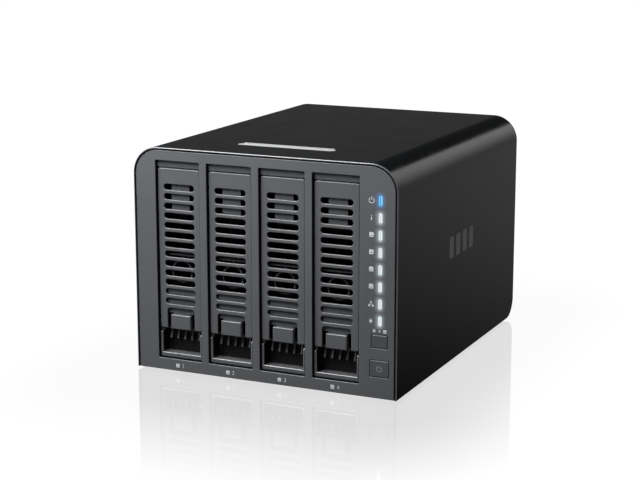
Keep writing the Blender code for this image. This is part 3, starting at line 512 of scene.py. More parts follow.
def brushed(name, colour, roughness, stretch, metallic=0.9):
    """Metal brushed along one direction, which stretch says: small along the brushing."""
    paint = Paint(name, colour, roughness, metallic)
    place = paint.node("Mapping", {"Scale": stretch, "Vector": paint.place}).outputs["Vector"]
    lines = paint.noise(1, 4, place)
    paint.look(Roughness=paint.spread(lines, roughness - 0.08, roughness + 0.10)).mottle(30 * MM, 0.04)
    return paint.bumps(lines, 0.02 * MM, 0.6)


def galvanised(name, colour):
    """Zinc-plated sheet with its spangle of crystals."""
    paint = Paint(name, colour, 0.38, 0.9)
    tone = paint.node("SeparateColor", {"Color": paint.cells("F1", 260, 1.0)["Color"]}).outputs["Red"]
    paint.look(Base_Color=paint.mix(tone, paint.shade(0.88), colour))
    paint.look(Roughness=paint.spread(tone, 0.30, 0.46, (0, 1)))
    return paint.bumps(paint.noise(0.7 * MM, 2), 0.01 * MM)


def solder_mask(name, colour):
    """Circuit board: solder mask over fine traces, with rows of small vias."""
    paint = Paint(name, colour, 0.36)
    trace = paint.spread(paint.cells("DISTANCE_TO_EDGE", 220, 0.55)["Distance"], 1, 0, (0.03, 0.09))
    dot = paint.spread(paint.cells("F1", 300, 0.8)["Distance"], 1, 0, (0.16, 0.22))
    traced = paint.mix(trace, colour, tuple(c * 1.9 + 0.01 for c in colour))
    paint.look(Base_Color=paint.mix(dot, traced, (0.30, 0.31, 0.25)))
    return paint.bumps(paint.plus(trace, dot), 0.03 * MM)


def lit(name, colour, side_colour, strength):
    """The lit end of a light guide: its rounded sides are brighter than its middle."""
    paint = Paint(name, (0.05, 0.055, 0.06), 0.35, Emission_Strength=strength)
    off_axis = paint.math("ABSOLUTE", paint.minus(paint.split(paint.place)["X"], COLUMN_X))
    side = paint.spread(off_axis, 0, 1, (0.05 * LIGHT_W, 0.3 * LIGHT_W))
    grain = paint.spread(paint.noise(0.8 * MM), 0.85, 1.0)
    return paint.look(Emission_Color=paint.mix(paint.times(side, grain), colour, side_colour))


def add_glow(paint, strength):
    """A faint painted glow on the bezel round each status light, for the light they spill: blue at the top
    one, else white.
    """
    x, _, z = paint.split(paint.place)
    low, top = light_z(LIGHT_COUNT - 1) - LIGHT_PITCH / 2, light_z(0) + LIGHT_PITCH / 2
    phase = paint.math("FLOORED_MODULO", paint.minus(z, low), LIGHT_PITCH)
    along = paint.math("ABSOLUTE", paint.minus(phase, LIGHT_PITCH / 2))
    past_end = paint.math("MAXIMUM", paint.minus(along, (LIGHT_L - LIGHT_W) / 2), 0.0)
    across = paint.minus(x, COLUMN_X)
    away = paint.math("SQRT", paint.plus(paint.times(past_end, past_end), paint.times(across, across)))
    near = paint.spread(away, 1, 0, GLOW_FADE)
    inside = paint.times(paint.math("GREATER_THAN", z, low), paint.math("LESS_THAN", z, top))
    spill = paint.times(paint.math("POWER", near, GLOW_FALL), inside)
    blue = paint.math("GREATER_THAN", z, top - LIGHT_PITCH)
    tint = paint.mix(blue, (0.50, 0.58, 0.62), (0.04, 0.30, 0.75))
    return paint.look(Emission_Color=paint.mix(spill, (0, 0, 0), tint), Emission_Strength=strength)


COVER = moulded("cover_paint", (0.0018, 0.0021, 0.0024), 0.16, 0.35, 0.006, Specular_IOR_Level=0.35)
# A lighter grey for the rounding of the cover's front rim: a painted highlight along its edge.
RIM_HIGHLIGHT = moulded("cover_rim_painted_highlight", (0.070, 0.073, 0.078), 0.24, 0.35, 0.004)
BEZEL_COLOUR = (0.066, 0.069, 0.074)
BEZEL = moulded("bezel_plastic", BEZEL_COLOUR, 0.40, 0.45, 0.010)
LIP = moulded("tray_lip_plastic", BEZEL_COLOUR, 0.28, 0.6, 0.002, Specular_IOR_Level=0.75)
# The bezel plastic with a painted glow round the status lights.
LIT_BEZEL = add_glow(moulded("bezel_plastic_lit", BEZEL_COLOUR, 0.40, 0.45, 0.010), 0.50)
# Near-black plastic, used on the walls in the bezel's openings, the lever's slots and the inside of the tray
# as painted shade.
TRAY_SHADE_BLACK = moulded("tray_plastic", (0.0028, 0.0029, 0.0031), 0.38, 0.45, 0.008, Specular_IOR_Level=0.3)
KEYS = moulded("button_plastic", (0.050, 0.053, 0.057), 0.42, 0.35, 0.008)
INK = moulded("printing_ink", (0.42, 0.44, 0.46), 0.55, 0.2, 0.003)
DIM_INK = moulded("button_ink", (0.20, 0.21, 0.22), 0.55, 0.2, 0.003)
MARK_INK = moulded("side_mark_ink", (0.075, 0.078, 0.082), 0.42, 0.3, 0.004)
SILVER = brushed("satin_silver", (0.80, 0.81, 0.83), 0.30, (60, 2500, 2500), 0.8)
STEEL = galvanised("galvanised_steel", (0.52, 0.53, 0.54))
REAR = moulded("rear_paint", (0.030, 0.030, 0.032), 0.50, 0.5, 0.015)
BOARD = solder_mask("solder_mask", (0.012, 0.070, 0.030))
SOCKET = moulded("connector_plastic", (0.018, 0.018, 0.019), 0.48, 0.4, 0.008)
PLATED = brushed("plated_metal", (0.62, 0.62, 0.63), 0.28, (900, 900, 900))
GOLD = brushed("contact_gold", (0.83, 0.61, 0.26), 0.25, (900, 900, 900))
FAN = moulded("fan_plastic", (0.020, 0.020, 0.021), 0.48, 0.5, 0.012)
RUBBER = moulded("foot_rubber", (0.022, 0.022, 0.022), 0.82, 0.6, 0.03)
ALLOY = brushed("extruded_alloy", (0.58, 0.59, 0.61), 0.34, (1500, 20, 1500))
BLUE_TONGUE = moulded("socket_tongue", (0.02, 0.09, 0.42), 0.45, 0.4, 0.006)
CLEAR = moulded("clear_guide", (0.70, 0.74, 0.78), 0.16, 0.6, 0.004)
LIT_BLUE = lit("status_blue", (0.01, 0.23, 0.62), (0.20, 0.64, 0.96), 1.0)
LIT_WHITE = lit("status_white", (0.52, 0.58, 0.63), (0.78, 0.84, 0.88), 1.0)


# --- Camera, light and floor ---
LENS, SENSOR = 92.34, 36
CAMERA_AT = (0.4611, -1.0362, 0.3218)
CAMERA_DOWN, CAMERA_ROUND = 12.345, 24.561  # degrees
MIDDLE = Vector((0, 0, 0.08))  # what the lights look at
SOFTBOXES = {  # direction, distance, size, radiance
    "key_softbox": ((-0.35, -0.67, 0.66), 0.53, (0.40, 0.28), 13.5),
    "top_softbox": ((-0.41, -0.21, 0.89), 0.80, (0.42, 0.42), 22),
    "rear_fill": ((-0.25, 0.62, 0.74), 1.30, (0.60, 0.60), 9),
}
# Radiances of what the object mirrors: the right wall above the horizon and below it, the left wall,
# the ceiling, the room before the object and behind it, and the low walls at its sides.
RIGHT_ABOVE, RIGHT_BELOW, LEFT_WALL = 0.85, 0.20, 0.055
CEILING, ROOM, ROOM_BEHIND, SIDES = 0.3, 0.13, 0.02, 1.1
FLOOR_HALF, FLOOR_GLOW, FLOOR_ROUGHNESS = 40.0, 1.03, 0.03
FLOOR_GLOSS = (0.32, 0.01)  # beside the case and away from it
FLOOR_FADE = (0.03, 0.21)  # distances between which the one turns into the other
FLOOR_SIDEWAYS = 1.6  # how much sooner it does so to the left and right
SKY_HALF = 30.0  # half the side of the white box that only the floor mirrors
SKY_TURN = math.atan2(0.89, -0.41)


def make_camera():
    camera = bpy.data.cameras.new("camera")
    camera.lens, camera.sensor_width = LENS, SENSOR
    camera.clip_start = 10 * MM
    seen = bpy.data.objects.new("camera", camera)
    seen.location = CAMERA_AT
    seen.rotation_euler = (math.radians(90 - CAMERA_DOWN), 0, math.radians(CAMERA_ROUND))
    bpy.context.collection.objects.link(seen)
    bpy.context.scene.camera = seen


def area_light(name, direction, distance, size, radiance):
    """A soft panel that looks at the object from this direction; nothing sees it directly."""
    light = bpy.data.lights.new(name, "AREA")
    light.shape = "RECTANGLE"
    light.size, light.size_y = size
    light.energy = radiance * math.pi * size[0] * size[1]
    lamp = bpy.data.objects.new(name, light)
    way = Vector(direction).normalized()
    lamp.location = MIDDLE + way * distance
    lamp.rotation_euler = way.to_track_quat("Z", "Y").to_euler()
    lamp.visible_camera = False
    bpy.context.collection.objects.link(lamp)
    return lamp


def make_world():
    """White behind the object. What the object reflects is a dim room with two pale walls behind it.

    The right wall shines above the horizon and fades below it. The left one is low and faint, so
    that a dark band lies between the two on the cover's right rounding. Two low walls at the sides
    keep the cover's sides from going black when the camera faces them. A ramp's two numbers are the
    X, Y or Z parts of a direction at which it starts and ends.
    """
    world = bpy.data.worlds.new("studio")
    bpy.context.scene.world = world
    nodes = Nodes(world)
    ramp, times, plus, minus = nodes.ramp, nodes.times, nodes.plus, nodes.minus
    x, y, z = nodes.split(nodes.node("TexCoord").outputs["Generated"])
    behind = ramp(y, 0.2, 0.5)
    above, below = times(ramp(z, -0.10, 0.36), RIGHT_ABOVE), times(ramp(z, -0.33, -0.16), RIGHT_BELOW)
    right = times(behind, ramp(x, 0.12, 0.19), plus(above, below))
    left = times(behind, ramp(x, 0.1, 0.0), ramp(z, 0.245, 0.155), LEFT_WALL)
    ceiling = times(ramp(z, 0.5, 1.0), CEILING)
    room = times(ramp(z, -0.5, 0.0), minus(ROOM, times(behind, ROOM - ROOM_BEHIND)))
    aside = times(ramp(times(x, x), 0.35, 0.6), ramp(y, -0.85, -0.65))
    sides = times(aside, ramp(z, 0.08, -0.12), ramp(z, -0.8, -0.3), SIDES)
    seen = nodes.node("LightPath").outputs["Is Camera Ray"]
    strength = nodes.math("MAXIMUM", plus(right, left, ceiling, room, sides), seen)
    nodes.feed(nodes.tree.nodes["Background"], {"Strength": strength, "Color": (1, 1, 1, 1)})


def make_floor():
    """A white sweep, polished enough to mirror the case faintly. The case doesn't see it."""
    bm = bmesh.new()
    corners = ((-1, -1), (1, -1), (1, 1), (-1, 1))
    bm.faces.new([bm.verts.new((x * FLOOR_HALF, y * FLOOR_HALF, 0)) for x, y in corners])
    floor = object_from(bm, "floor")
    material = bpy.data.materials.new("polished_white")
    nodes = Nodes(material)
    nodes.tree.nodes.remove(nodes.tree.nodes["Principled BSDF"])
    # The polish is strongest beside the case and wears off with the distance from its outline.
    place = nodes.node("TexCoord").outputs["Object"]
    beyond = nodes.vector("SUBTRACT", nodes.vector("ABSOLUTE", place), (CASE_W / 2, CASE_D / 2, 0))
    weighed = nodes.vector("MULTIPLY", nodes.vector("MAXIMUM", beyond), (FLOOR_SIDEWAYS, 1, 0))
    away = nodes.vector("LENGTH", weighed, output="Value")
    gloss = nodes.spread(away, *FLOOR_GLOSS, FLOOR_FADE, "SMOOTHSTEP")
    white = nodes.node("Emission", {"Strength": FLOOR_GLOW}).outputs[0]
    polish = nodes.node("BsdfGlossy", {"Roughness": FLOOR_ROUGHNESS}).outputs[0]
    surface = nodes.node("MixShader", {"Fac": gloss, 1: white, 2: polish}).outputs[0]
    nodes.feed(nodes.tree.nodes["Material Output"], {"Surface": surface})
    floor.data.materials.append(material)
    floor.visible_glossy = False
    floor.visible_diffuse = False
    floor.visible_shadow = False
    return floor


def skip_rear_fill(piece):
    """Keeps the light that shows the rear panel off the top of the case."""
    collection = bpy.data.collections["not_lit_by_rear_fill"]
    collection.objects.link(piece)
    collection.collection_objects[-1].light_linking.link_state = "EXCLUDE"


def make_studio():
    make_camera()
    make_world()
    only_floor = bpy.data.collections.new("lit_by_floor_sky")
    only_floor.objects.link(make_floor())
    lamps = {name: area_light(name, *row) for name, row in SOFTBOXES.items()}
    turns = [SKY_TURN + quarter * math.pi / 2 for quarter in range(4)]
    for i, way in enumerate(((0, 0, 1), *((math.cos(t), math.sin(t), 0) for t in turns))):
        panel = area_light(f"floor_sky_{i + 1}", way, SKY_HALF, (2 * SKY_HALF, 2 * SKY_HALF), 1.0)
        panel.light_linking.receiver_collection = only_floor
        if i == 0:
            panel.rotation_euler.z = SKY_TURN
    all_but_cover = bpy.data.collections.new("not_lit_by_rear_fill")
    lamps["rear_fill"].light_linking.receiver_collection = all_but_cover
    settings = bpy.context.scene.view_settings
    settings.view_transform = "Standard"
    settings.look = "None"


# --- Casing ---
def make_cover():
    """Bent sleeve with a softly rounded front rim and rounded lower rear corners."""
    rear, corner_low, bends = deep(CASE_D), FOOT_DROP + REAR_CORNER_R, 12
    stations = [(y, inset, FOOT_DROP) for inset, y in quarter_round(deep(0), COVER_RIM, 1, 5)]
    for t in (math.pi / 2 * i / bends for i in range(bends)):
        y = rear - REAR_CORNER_R * (1 - math.sin(t))
        stations.append((y, 0, corner_low - REAR_CORNER_R * math.cos(t)))
    for inset, y in reversed(quarter_round(rear, REAR_RIM, -1, 5)):
        stations.append((y, inset, corner_low - (REAR_RIM - (rear - y)) / 2))
    bm = bmesh.new()
    rings = skinned(bm, [
        [(x, y, z) for x, z in (*arch(inset, low), *reversed(arch(COVER_WALL, low)))]
        for y, inset, low in stations
    ])
    for ring in (rings[0], rings[-1]):
        for k in range(len(ring) // 2 - 1):
            bm.faces.new((ring[k], ring[k + 1], ring[-2 - k], ring[-1 - k]))
    cover = object_from(bm)
    # The faces of the front rim's rounding take the lighter grey: a painted highlight along the front edge.
    for face in cover.data.polygons:
        if deep(0) < face.center.y < deep(COVER_RIM) and abs(face.normal.y) < 0.999:
            face.material_index = 1

    # The slot for the silver bar has a chamfered edge.
    gap, chamfer = 0.3 * MM, 0.4 * MM
    centre = (0, middle_of("accent_bar").y)
    slot = rounded(centre, ACCENT_W + 2 * gap, ACCENT_L + 2 * gap, ACCENT_R + gap, 8)
    levels = ((0, -4 * MM), (0, -0.3 * MM), (-chamfer, 0.1 * MM), (-chamfer, PAST))
    cut(cover, lofted([[(a, b, CASE_H + up) for a, b in moved_in(slot, inset)] for inset, up in levels]))
    skip_rear_fill(cover)
    placed(cover, "sleeve", [COVER, RIM_HIGHLIGHT], "cover_black", "outer_cover", sharp_deg=25)

    along = (deep(4.3 * MM), deep(CASE_D - REAR_CORNER_R))
    inner_half = CASE_W / 2 - COVER_WALL
    for name, side in (("left", -1), ("right", 1)):
        across = on_side(0, side, inner_half - FLANGE_W, inner_half)
        flange = block(across, along, (FOOT_DROP, FOOT_DROP + FLANGE_T), 0.3 * MM)
        placed(flange, f"sleeve_flange_{name}", COVER, "cover_black")


def make_accent_bar():
    low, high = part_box("accent_bar")
    centre, lip = (0, (low.y + high.y) / 2), 5 * MM
    raised = rounded(centre, ACCENT_W, ACCENT_L, ACCENT_R, 8)
    flange = rounded(centre, ACCENT_W + lip, ACCENT_L + lip, ACCENT_R)
    accent = merged([
        plate(raised, (), "Z", high.z, low.z + 0.7 * MM, 0.4 * MM, 0, 4),
        plate(flange, (), "Z", low.z + 1.4 * MM, low.z, 0.2 * MM),
    ])
    skip_rear_fill(accent)
    placed(accent, "silver_bar", SILVER, "accent_silver", "accent_bar")


def make_bezel():
    """Front plate. The strip round the status lights carries a faint painted glow of their light."""
    outline = arch(COVER_WALL + 0.5 * MM, FOOT_DROP)
    holes = [rounded((x, sum(BAY_Z) / 2), BAY_W, BAY_Z[1] - BAY_Z[0], 0.7 * MM, 4) for x in BAYS]
    size = (LIGHT_W + LIGHT_GAP, LIGHT_L + LIGHT_GAP, (LIGHT_W + LIGHT_GAP) / 2)
    holes += [rounded((COLUMN_X, light_z(i)), *size) for i in range(LIGHT_COUNT)]
    for name in BUTTONS:
        centre, width, height, *_ = face_of(name)
        lip = BUTTON_LIP - BUTTON_GAP
        holes.append(rounded(centre, width - lip, height - lip, BUTTON_R, 4))
    bezel = plate(outline, holes, "Y", BEZEL_LOW.y, BEZEL_HIGH.y, 0.35 * MM, 0.2 * MM)
    # The side walls of the bezel, round its openings and at its edge, take the near-black paint: painted
    # shade.
    for face in bezel.data.polygons:
        if abs(face.normal.y) < 0.2:
            face.material_index = 1
    placed(bezel, "bezel", [LIT_BEZEL, TRAY_SHADE_BLACK], "bezel_grey", "front_bezel")


def make_buttons():
    for name in BUTTONS:
        centre, width, height, front, _ = face_of(name)
        cap = rounded(centre, width - BUTTON_LIP, height - BUTTON_LIP, BUTTON_R, 4)
        flange = rounded(centre, width, height, 1 * MM)
        button = merged([
            plate(cap, (), "Y", front, front + 5 * MM, 0.4 * MM),
            plate(flange, (), "Y", front + 4.1 * MM, front + 5.3 * MM, 0.2 * MM),
        ])
        placed(button, f"{name}_cap", KEYS, "tray_grey", name, name)
    symbol = printed(power_symbol(centre, 2.0 * MM, 0.35 * MM), "Y", front - 0.03 * MM, front + 0.2 * MM)
    placed(symbol, "power_button_symbol", DIM_INK, "tray_grey", body="power_button")


def make_light_guide():
    """The back bar with eight pegs; the top peg is lit blue and the others white."""
    low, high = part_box("light_guide")
    back_bar = block((low.x, high.x), (high.y - 2 * MM, high.y), (low.z, high.z), 0.6 * MM)
    placed(back_bar, "light_guide_bar", CLEAR, "clear_guide", "light_guide")
    for i in range(LIGHT_COUNT):
        outline = rounded((COLUMN_X, light_z(i)), LIGHT_W, LIGHT_L, LIGHT_W / 2)
        peg = plate(outline, (), "Y", low.y - 0.15 * MM, high.y - 2.2 * MM, 0.3 * MM)
        placed(peg, f"status_light_{i + 1}", LIT_WHITE if i else LIT_BLUE, "clear_guide")


# --- Printing: symbols as lists of (outline, holes) ---
def ring(centre, radius, width, gap_deg):
    """A ring, open by this many degrees at its top."""
    start, end = 90 + gap_deg / 2, 450 - gap_deg / 2
    return [(arc(centre, radius, start, end, 28) + arc(centre, radius - width, end, start, 28), ())]


def bar(x, z, width, height):
    """A straight line with round ends."""
    return [(rounded((x, z), width, height, min(width, height) / 2 * 0.98, 3), ())]


def power_symbol(centre, radius, width):
    return ring(centre, radius, width, 70) + bar(centre[0], centre[1] + radius * 0.62, width, radius * 1.15)


def disk_symbol(x, z, size):
    """A drive: a filled square with a slit near its foot."""
    hole = rounded((x, z - size * 0.22), size * 0.6, size * 0.14, size * 0.06, 2)
    return [(rounded((x, z), size, size, size * 0.14, 3), [hole])]


def network_symbol(x, z, size):
    """Three small boxes joined by lines."""
    box, line = size * 0.34, size * 0.1
    boxes = [
        (rounded((x + dx * size * 0.36, z + dz * box), box, box, box * 0.2, 2), ())
        for dx, dz in ((0, 1), (-1, -1), (1, -1))
    ]
    return boxes + bar(x, z + size * 0.02, line, size * 0.5) + bar(x, z - size * 0.05, size * 0.8, line)


def plug_symbol(x, z, size):
    """A plug: a body with two prongs above it and its cable below."""
    body = [(rounded((x, z - size * 0.04), size * 0.62, size * 0.46, size * 0.1, 2), ())]
    line, reach = size * 0.11, size * 0.3
    ends = [(x - size * 0.17, z + size * 0.32), (x + size * 0.17, z + size * 0.32), (x, z - size * 0.38)]
    return body + [shape for end in ends for shape in bar(*end, line, reach)]


def arrow_symbol(x, z, size):
    head = [(x, z - size * 0.32), (x + size * 0.4, z), (x, z + size * 0.32)]
    return [(head, ()), *bar(x - size * 0.2, z, size * 0.5, size * 0.16)]


def numeral(text, centre, height, start, end):
    """A plain figure, converted to a mesh and laid on the front."""
    curve = bpy.data.curves.new("figure", "FONT")
    curve.body = text
    curve.size = height / 0.7
    curve.align_x, curve.align_y = "CENTER", "CENTER"
    curve.extrude = abs(end - start) / 2
    drawn = bpy.data.objects.new("figure", curve)
    bpy.context.collection.objects.link(drawn)
    graph = bpy.context.evaluated_depsgraph_get()
    mesh = bpy.data.meshes.new_from_object(drawn.evaluated_get(graph))
    bpy.data.objects.remove(drawn)
    spot = Matrix.Translation((centre[0], (start + end) / 2, centre[1]))
    mesh.transform(spot @ Matrix.Rotation(math.pi / 2, 4, "X"))
    made = bpy.data.objects.new("figure", mesh)
    bpy.context.collection.objects.link(made)
    return made


def printed(symbols, axis, start, end, *figures):
    """Thin raised prints of the symbols, joined with the figures."""
    return merged([*(plate(*symbol, axis, start, end, 0) for symbol in symbols), *figures])


def make_printing():
    film = (BEZEL_LOW.y - 0.03 * MM, BEZEL_LOW.y + 0.1 * MM)
    icon_x, label_z = COLUMN_X - 5.9 * MM, 45.8 * MM
    symbols = [
        *power_symbol((icon_x, light_z(0)), 2.0 * MM, 0.45 * MM),
        *bar(icon_x, light_z(1) - 0.5 * MM, 0.7 * MM, 2.2 * MM),
        *bar(icon_x, light_z(1) + 1.3 * MM, 0.7 * MM, 0.7 * MM),
        *network_symbol(icon_x, light_z(6), 3.4 * MM),
        *plug_symbol(icon_x, light_z(7), 3.4 * MM),
        *plug_symbol(COLUMN_X - 3.6 * MM, label_z, 2.6 * MM),
        *arrow_symbol(COLUMN_X, label_z, 2.4 * MM),
        *disk_symbol(COLUMN_X + 3.6 * MM, label_z, 2.2 * MM),
    ]
    for i in range(2, 6):
        symbols += disk_symbol(icon_x, light_z(i) + 0.4 * MM, 3.0 * MM)
    aside, figure_z, figure_h = 2.0 * MM, 5.2 * MM, 2.6 * MM
    for x in BAYS:
        symbols += disk_symbol(x - aside, figure_z, figure_h)
    figures = [numeral(str(i + 1), (x + aside, figure_z), figure_h, *film) for i, x in enumerate(BAYS)]
    placed(printed(symbols, "Y", *film, *figures), "bezel_printing", INK, "bezel_grey")


def make_side_mark():
    """A generic mark on the right side: four upright bars, for the four drives."""
    y, z, face, pitch = deep(117 * MM), 81 * MM, CASE_W / 2, 13 * MM
    places = [y + (i - (BAY_COUNT - 1) / 2) * pitch for i in range(BAY_COUNT)]
    bars = [(rounded((place, z), 8 * MM, 15 * MM, 1.8 * MM), ()) for place in places]
    placed(printed(bars, "X", face + 0.02 * MM, face - 0.2 * MM), "side_mark", MARK_INK, "cover_black")


# --- Drive trays, modelled for the first bay ---
TRAY_HALF, TRAY_WALL = 15.8 * MM, 1.8 * MM
TRAY_LOW, TRAY_HIGH = 9.9 * MM, 143.1 * MM
HINGE_DEPTH, HINGE_Z = 4.4 * MM, 136.0 * MM
HINGE = (deep(HINGE_DEPTH), HINGE_Z)
HEADER_FRONT, LEDGE_FRONT, LEDGE_HALF = 2.9 * MM, 7.2 * MM, 12 * MM
LEVER_HALF, LEVER_LOW, LEVER_FACE, LEVER_T = 15.5 * MM, 30.0 * MM, 2.2 * MM, 1.8 * MM
KNUCKLE_R, KNUCKLE_HALF, CHEEK_R, PIN_HOLE_R = 2.2 * MM, 13.7 * MM, 1.25 * MM, 0.85 * MM
LEVER_TOP = HINGE_Z + KNUCKLE_R
NOTCH_HALF, NOTCH_TOP, NOTCH_R = 10.1 * MM, 44.0 * MM, 2.2 * MM
RING_Z, RING_R, RING_WALL = 69.0 * MM, 7.7 * MM, 0.9 * MM
RAIL_LOW, RAIL_HIGH, RAIL_T, RAIL_L = 20 * MM, 126.2 * MM, 2 * MM, 155 * MM
X0 = BAYS[0]


def pin_hole():
    return disc("X", HINGE, PIN_HOLE_R, *about(X0, 30 * MM), 24)


def make_lever():
    """The slotted lever: every slot has a softly rounded lip."""
    front, inner = deep(LEVER_FACE), deep(LEVER_FACE + LEVER_T)
    foot_r, toe_r, top_r = 1.4 * MM, 0.6 * MM, 1.2 * MM
    outline = symmetric(X0, [
        (NOTCH_HALF, NOTCH_TOP, NOTCH_R, 6), (NOTCH_HALF, LEVER_LOW, toe_r, 3),
        (LEVER_HALF, LEVER_LOW, foot_r, 5), (LEVER_HALF, LEVER_TOP, top_r, 6),
    ])
    slots = [rounded((X0, SLOT_TOP - i * SLOT_PITCH), SLOT_W, SLOT_H, SLOT_H / 2) for i in range(SLOT_COUNT)]
    lever = plate(outline, slots, "Y", front, inner, 0.6 * MM, 0.2 * MM, 4)
    skin = front + 0.8 * MM
    pocket_z = (HINGE_Z - 3.2 * MM, HINGE_Z + 4 * MM)
    cut(lever, *(
        block(on_side(X0, side, KNUCKLE_HALF, KNUCKLE_HALF + 5 * MM), (skin, deep(9 * MM)), pocket_z)
        for side in (1, -1)
    ))
    # The knuckle is round at the back and below, and fills the corner behind the face above.
    side_view = [(skin, LEVER_TOP - 0.3 * MM), *arc(HINGE, KNUCKLE_R, 90, -160, 40)]
    unite(lever, prism(side_view, "X", *about(X0, KNUCKLE_HALF)))
    cut(lever, pin_hole())
    # The walls of the slots and of the latch notch take the near-black paint: painted shade.
    for face in lever.data.polygons:
        across, z = abs(face.center.x - X0), face.center.z
        within = across < LEVER_HALF - 1 * MM and LEVER_LOW + 2 * MM < z < SLOT_TOP + SLOT_H
        if within and abs(face.normal.y) < 0.2:
            face.material_index = 1
    return lever


def make_latch():
    """The sliding latch: thumb block, plate and hook."""
    plate_y = (deep(4.3 * MM), deep(5.5 * MM))
    thumb = rounded((X0, 34.8 * MM), 14.7 * MM, 9.8 * MM, 0.5 * MM, 4)
    neck, wing, wing_low, wing_high, wing_r = 6 * MM, 10.8 * MM, 40.3 * MM, 57.8 * MM, 0.8 * MM
    outline = symmetric(X0, [
        (neck, 38 * MM), (neck, wing_low), (wing, wing_low, wing_r, 4), (wing, wing_high, wing_r, 4),
    ])
    hook, hook_back = about(X0, 3 * MM), deep(8.6 * MM)
    return unite(
        plate(thumb, (), "Y", deep(1.6 * MM), plate_y[1] + 0.1 * MM, 0.7 * MM, 0, 4),
        plate(outline, (), "Y", *plate_y, 0.2 * MM),
        block(hook, (deep(5 * MM), hook_back), (32.5 * MM, 34 * MM)),
        block(hook, (deep(7.4 * MM), hook_back), (30.8 * MM, 33.4 * MM)),
    )


def finger_rib(x, low, high, back):
    """A rib that leans forwards and swells towards its round lower end."""
    rings = []
    steps, sides = 10, 12
    for i in range(steps + 1):
        t = i / steps
        z = high + (low - high) * t
        end = math.sqrt(max(0.0, 1 - max(0.0, (t - 0.85) / 0.15) ** 2))
        radius = (0.55 + 0.40 * t) * MM * max(end, 0.05)
        nose = deep(LEDGE_FRONT + 1.8 * MM - 2.4 * MM * t) + (1 - end) * 0.7 * MM
        curve = arc((x, nose + radius), radius, 0, -180, sides)
        rings.append([(a, b, z) for a, b in [(x + radius, back), *curve, (x - radius, back)]])
    return lofted(rings)


def recess_frame():
    """The U-shaped frame round the finger recess, with rounded lips on its inside."""
    inner, arm_z, r = TRAY_HALF - TRAY_WALL, 27.5 * MM, 0.7 * MM
    outline = symmetric(X0, [
        (TRAY_HALF, TRAY_LOW, r, 3), (TRAY_HALF, arm_z, r, 4), (inner, arm_z, r, 4), (inner, 13.2 * MM),
    ])
    return plate(outline, (), "Y", deep(2 * MM), deep(10 * MM), 0.85 * MM, 0, 5)


def side_plate():
    """The plate beside the drive, with two windows with rounded corners."""
    middle = (deep(87.5 * MM), (RAIL_LOW + RAIL_HIGH) / 2)
    outline = rounded(middle, RAIL_L, RAIL_HIGH - RAIL_LOW, 0.5 * MM, 2)
    windows = [
        prism(rounded((deep(depth), 73 * MM), 58 * MM, 74 * MM, 4 * MM), "X", X0 - 20 * MM, X0)
        for depth in (55 * MM, 123 * MM)
    ]
    return cut(prism(outline, "X", X0 - TRAY_HALF, X0 - TRAY_HALF + RAIL_T), *windows)


def make_tray():
    """The tray: its front frame, and the plate and rails that carry the drive."""
    wall_front, back = deep(9.5 * MM), deep(11 * MM)
    behind_lever = deep(LEVER_FACE + LEVER_T + 0.4 * MM)
    across = about(X0, TRAY_HALF)
    window = rounded((X0, 84 * MM), 23 * MM, 44 * MM, 1.5 * MM, 4)
    tray = block(across, (wall_front, back), (TRAY_LOW, TRAY_HIGH))
    cut(tray, prism(window, "Y", deep(0), back + PAST))
    unite(tray, recess_frame())
    for side in (1, -1):
        wall = on_side(X0, side, TRAY_HALF - TRAY_WALL, TRAY_HALF)
        unite(
            tray,
            block(wall, (behind_lever, back), (26.5 * MM, HINGE_Z - 1 * MM)),
            disc("X", HINGE, CHEEK_R, *wall, 32),
            block(wall, (HINGE[0], back), about(HINGE_Z, CHEEK_R)),
            block(wall, (deep(7 * MM), back), (HINGE_Z, TRAY_HIGH)),
        )
    header_z, web_z = (LEVER_TOP + 0.7 * MM, TRAY_HIGH), (109.5 * MM, 133.2 * MM)
    shelf_z, stem_z = (79.5 * MM, 80.7 * MM), (76.2 * MM, 80 * MM)
    unite(
        tray,
        block(across, (deep(HEADER_FRONT), back), header_z),
        block(about(X0, 6.6 * MM), (deep(4.6 * MM), back - 1 * MM), web_z),
        block(about(X0, LEDGE_HALF), (deep(6 * MM), back - 0.5 * MM), shelf_z),
        block(about(X0, 0.7 * MM), (deep(7 * MM), back - 0.7 * MM), stem_z),
    )
    collar = disc("Y", (X0, RING_Z), RING_R, deep(5.2 * MM), deep(10 * MM), 64)
    cut(collar, disc("Y", (X0, RING_Z), RING_R - RING_WALL, deep(-PAST), deep(12 * MM), 64))
    unite(tray, collar)
    for i in range(-2, 3):
        unite(tray, finger_rib(X0 + i * 5.3 * MM, 21.5 * MM, 29 * MM, wall_front + 0.5 * MM))
    ledge_y = (deep(LEDGE_FRONT), wall_front + 0.4 * MM)
    unite(tray, block(about(X0, LEDGE_HALF), ledge_y, (28.4 * MM, 30.4 * MM)))
    cut(tray, pin_hole())
    along = (deep(10 * MM), deep(10 * MM) + RAIL_L)
    unite(
        tray,
        side_plate(),
        block(across, along, (RAIL_LOW, RAIL_LOW + RAIL_T)),
        block(across, along, (RAIL_HIGH - RAIL_T, RAIL_HIGH)),
    )
    tidied(tray)
    # Faces inside the tray, and all faces deeper than 9 mm, take the near-black paint: painted shade; the
    # floor of the finger recess keeps the front grey.
    for face in tray.data.polygons:
        depth = face.center.y - FRONT_Y
        sill = face.normal.z > 0.9 and face.center.z < 14 * MM
        if face.normal.y > -0.2 and depth > HEADER_FRONT and not sill or depth > 9 * MM:
            face.material_index = 1
    return bevelled(tray, 0.25 * MM)


def make_bays():
    tray, lever, latch = make_tray(), make_lever(), make_latch()
    placed_four(tray, "tray_shell_{}", [LIP, TRAY_SHADE_BLACK], "tray_grey", "drive_tray_{}", "tray_{}")
    placed_four(lever, "lever_shell_{}", [BEZEL, TRAY_SHADE_BLACK], "bezel_grey", "tray_lever_{}", "lever_{}")
    placed_four(latch, "latch_shell_{}", BEZEL, "bezel_grey", "lever_latch_{}", "latch_{}")


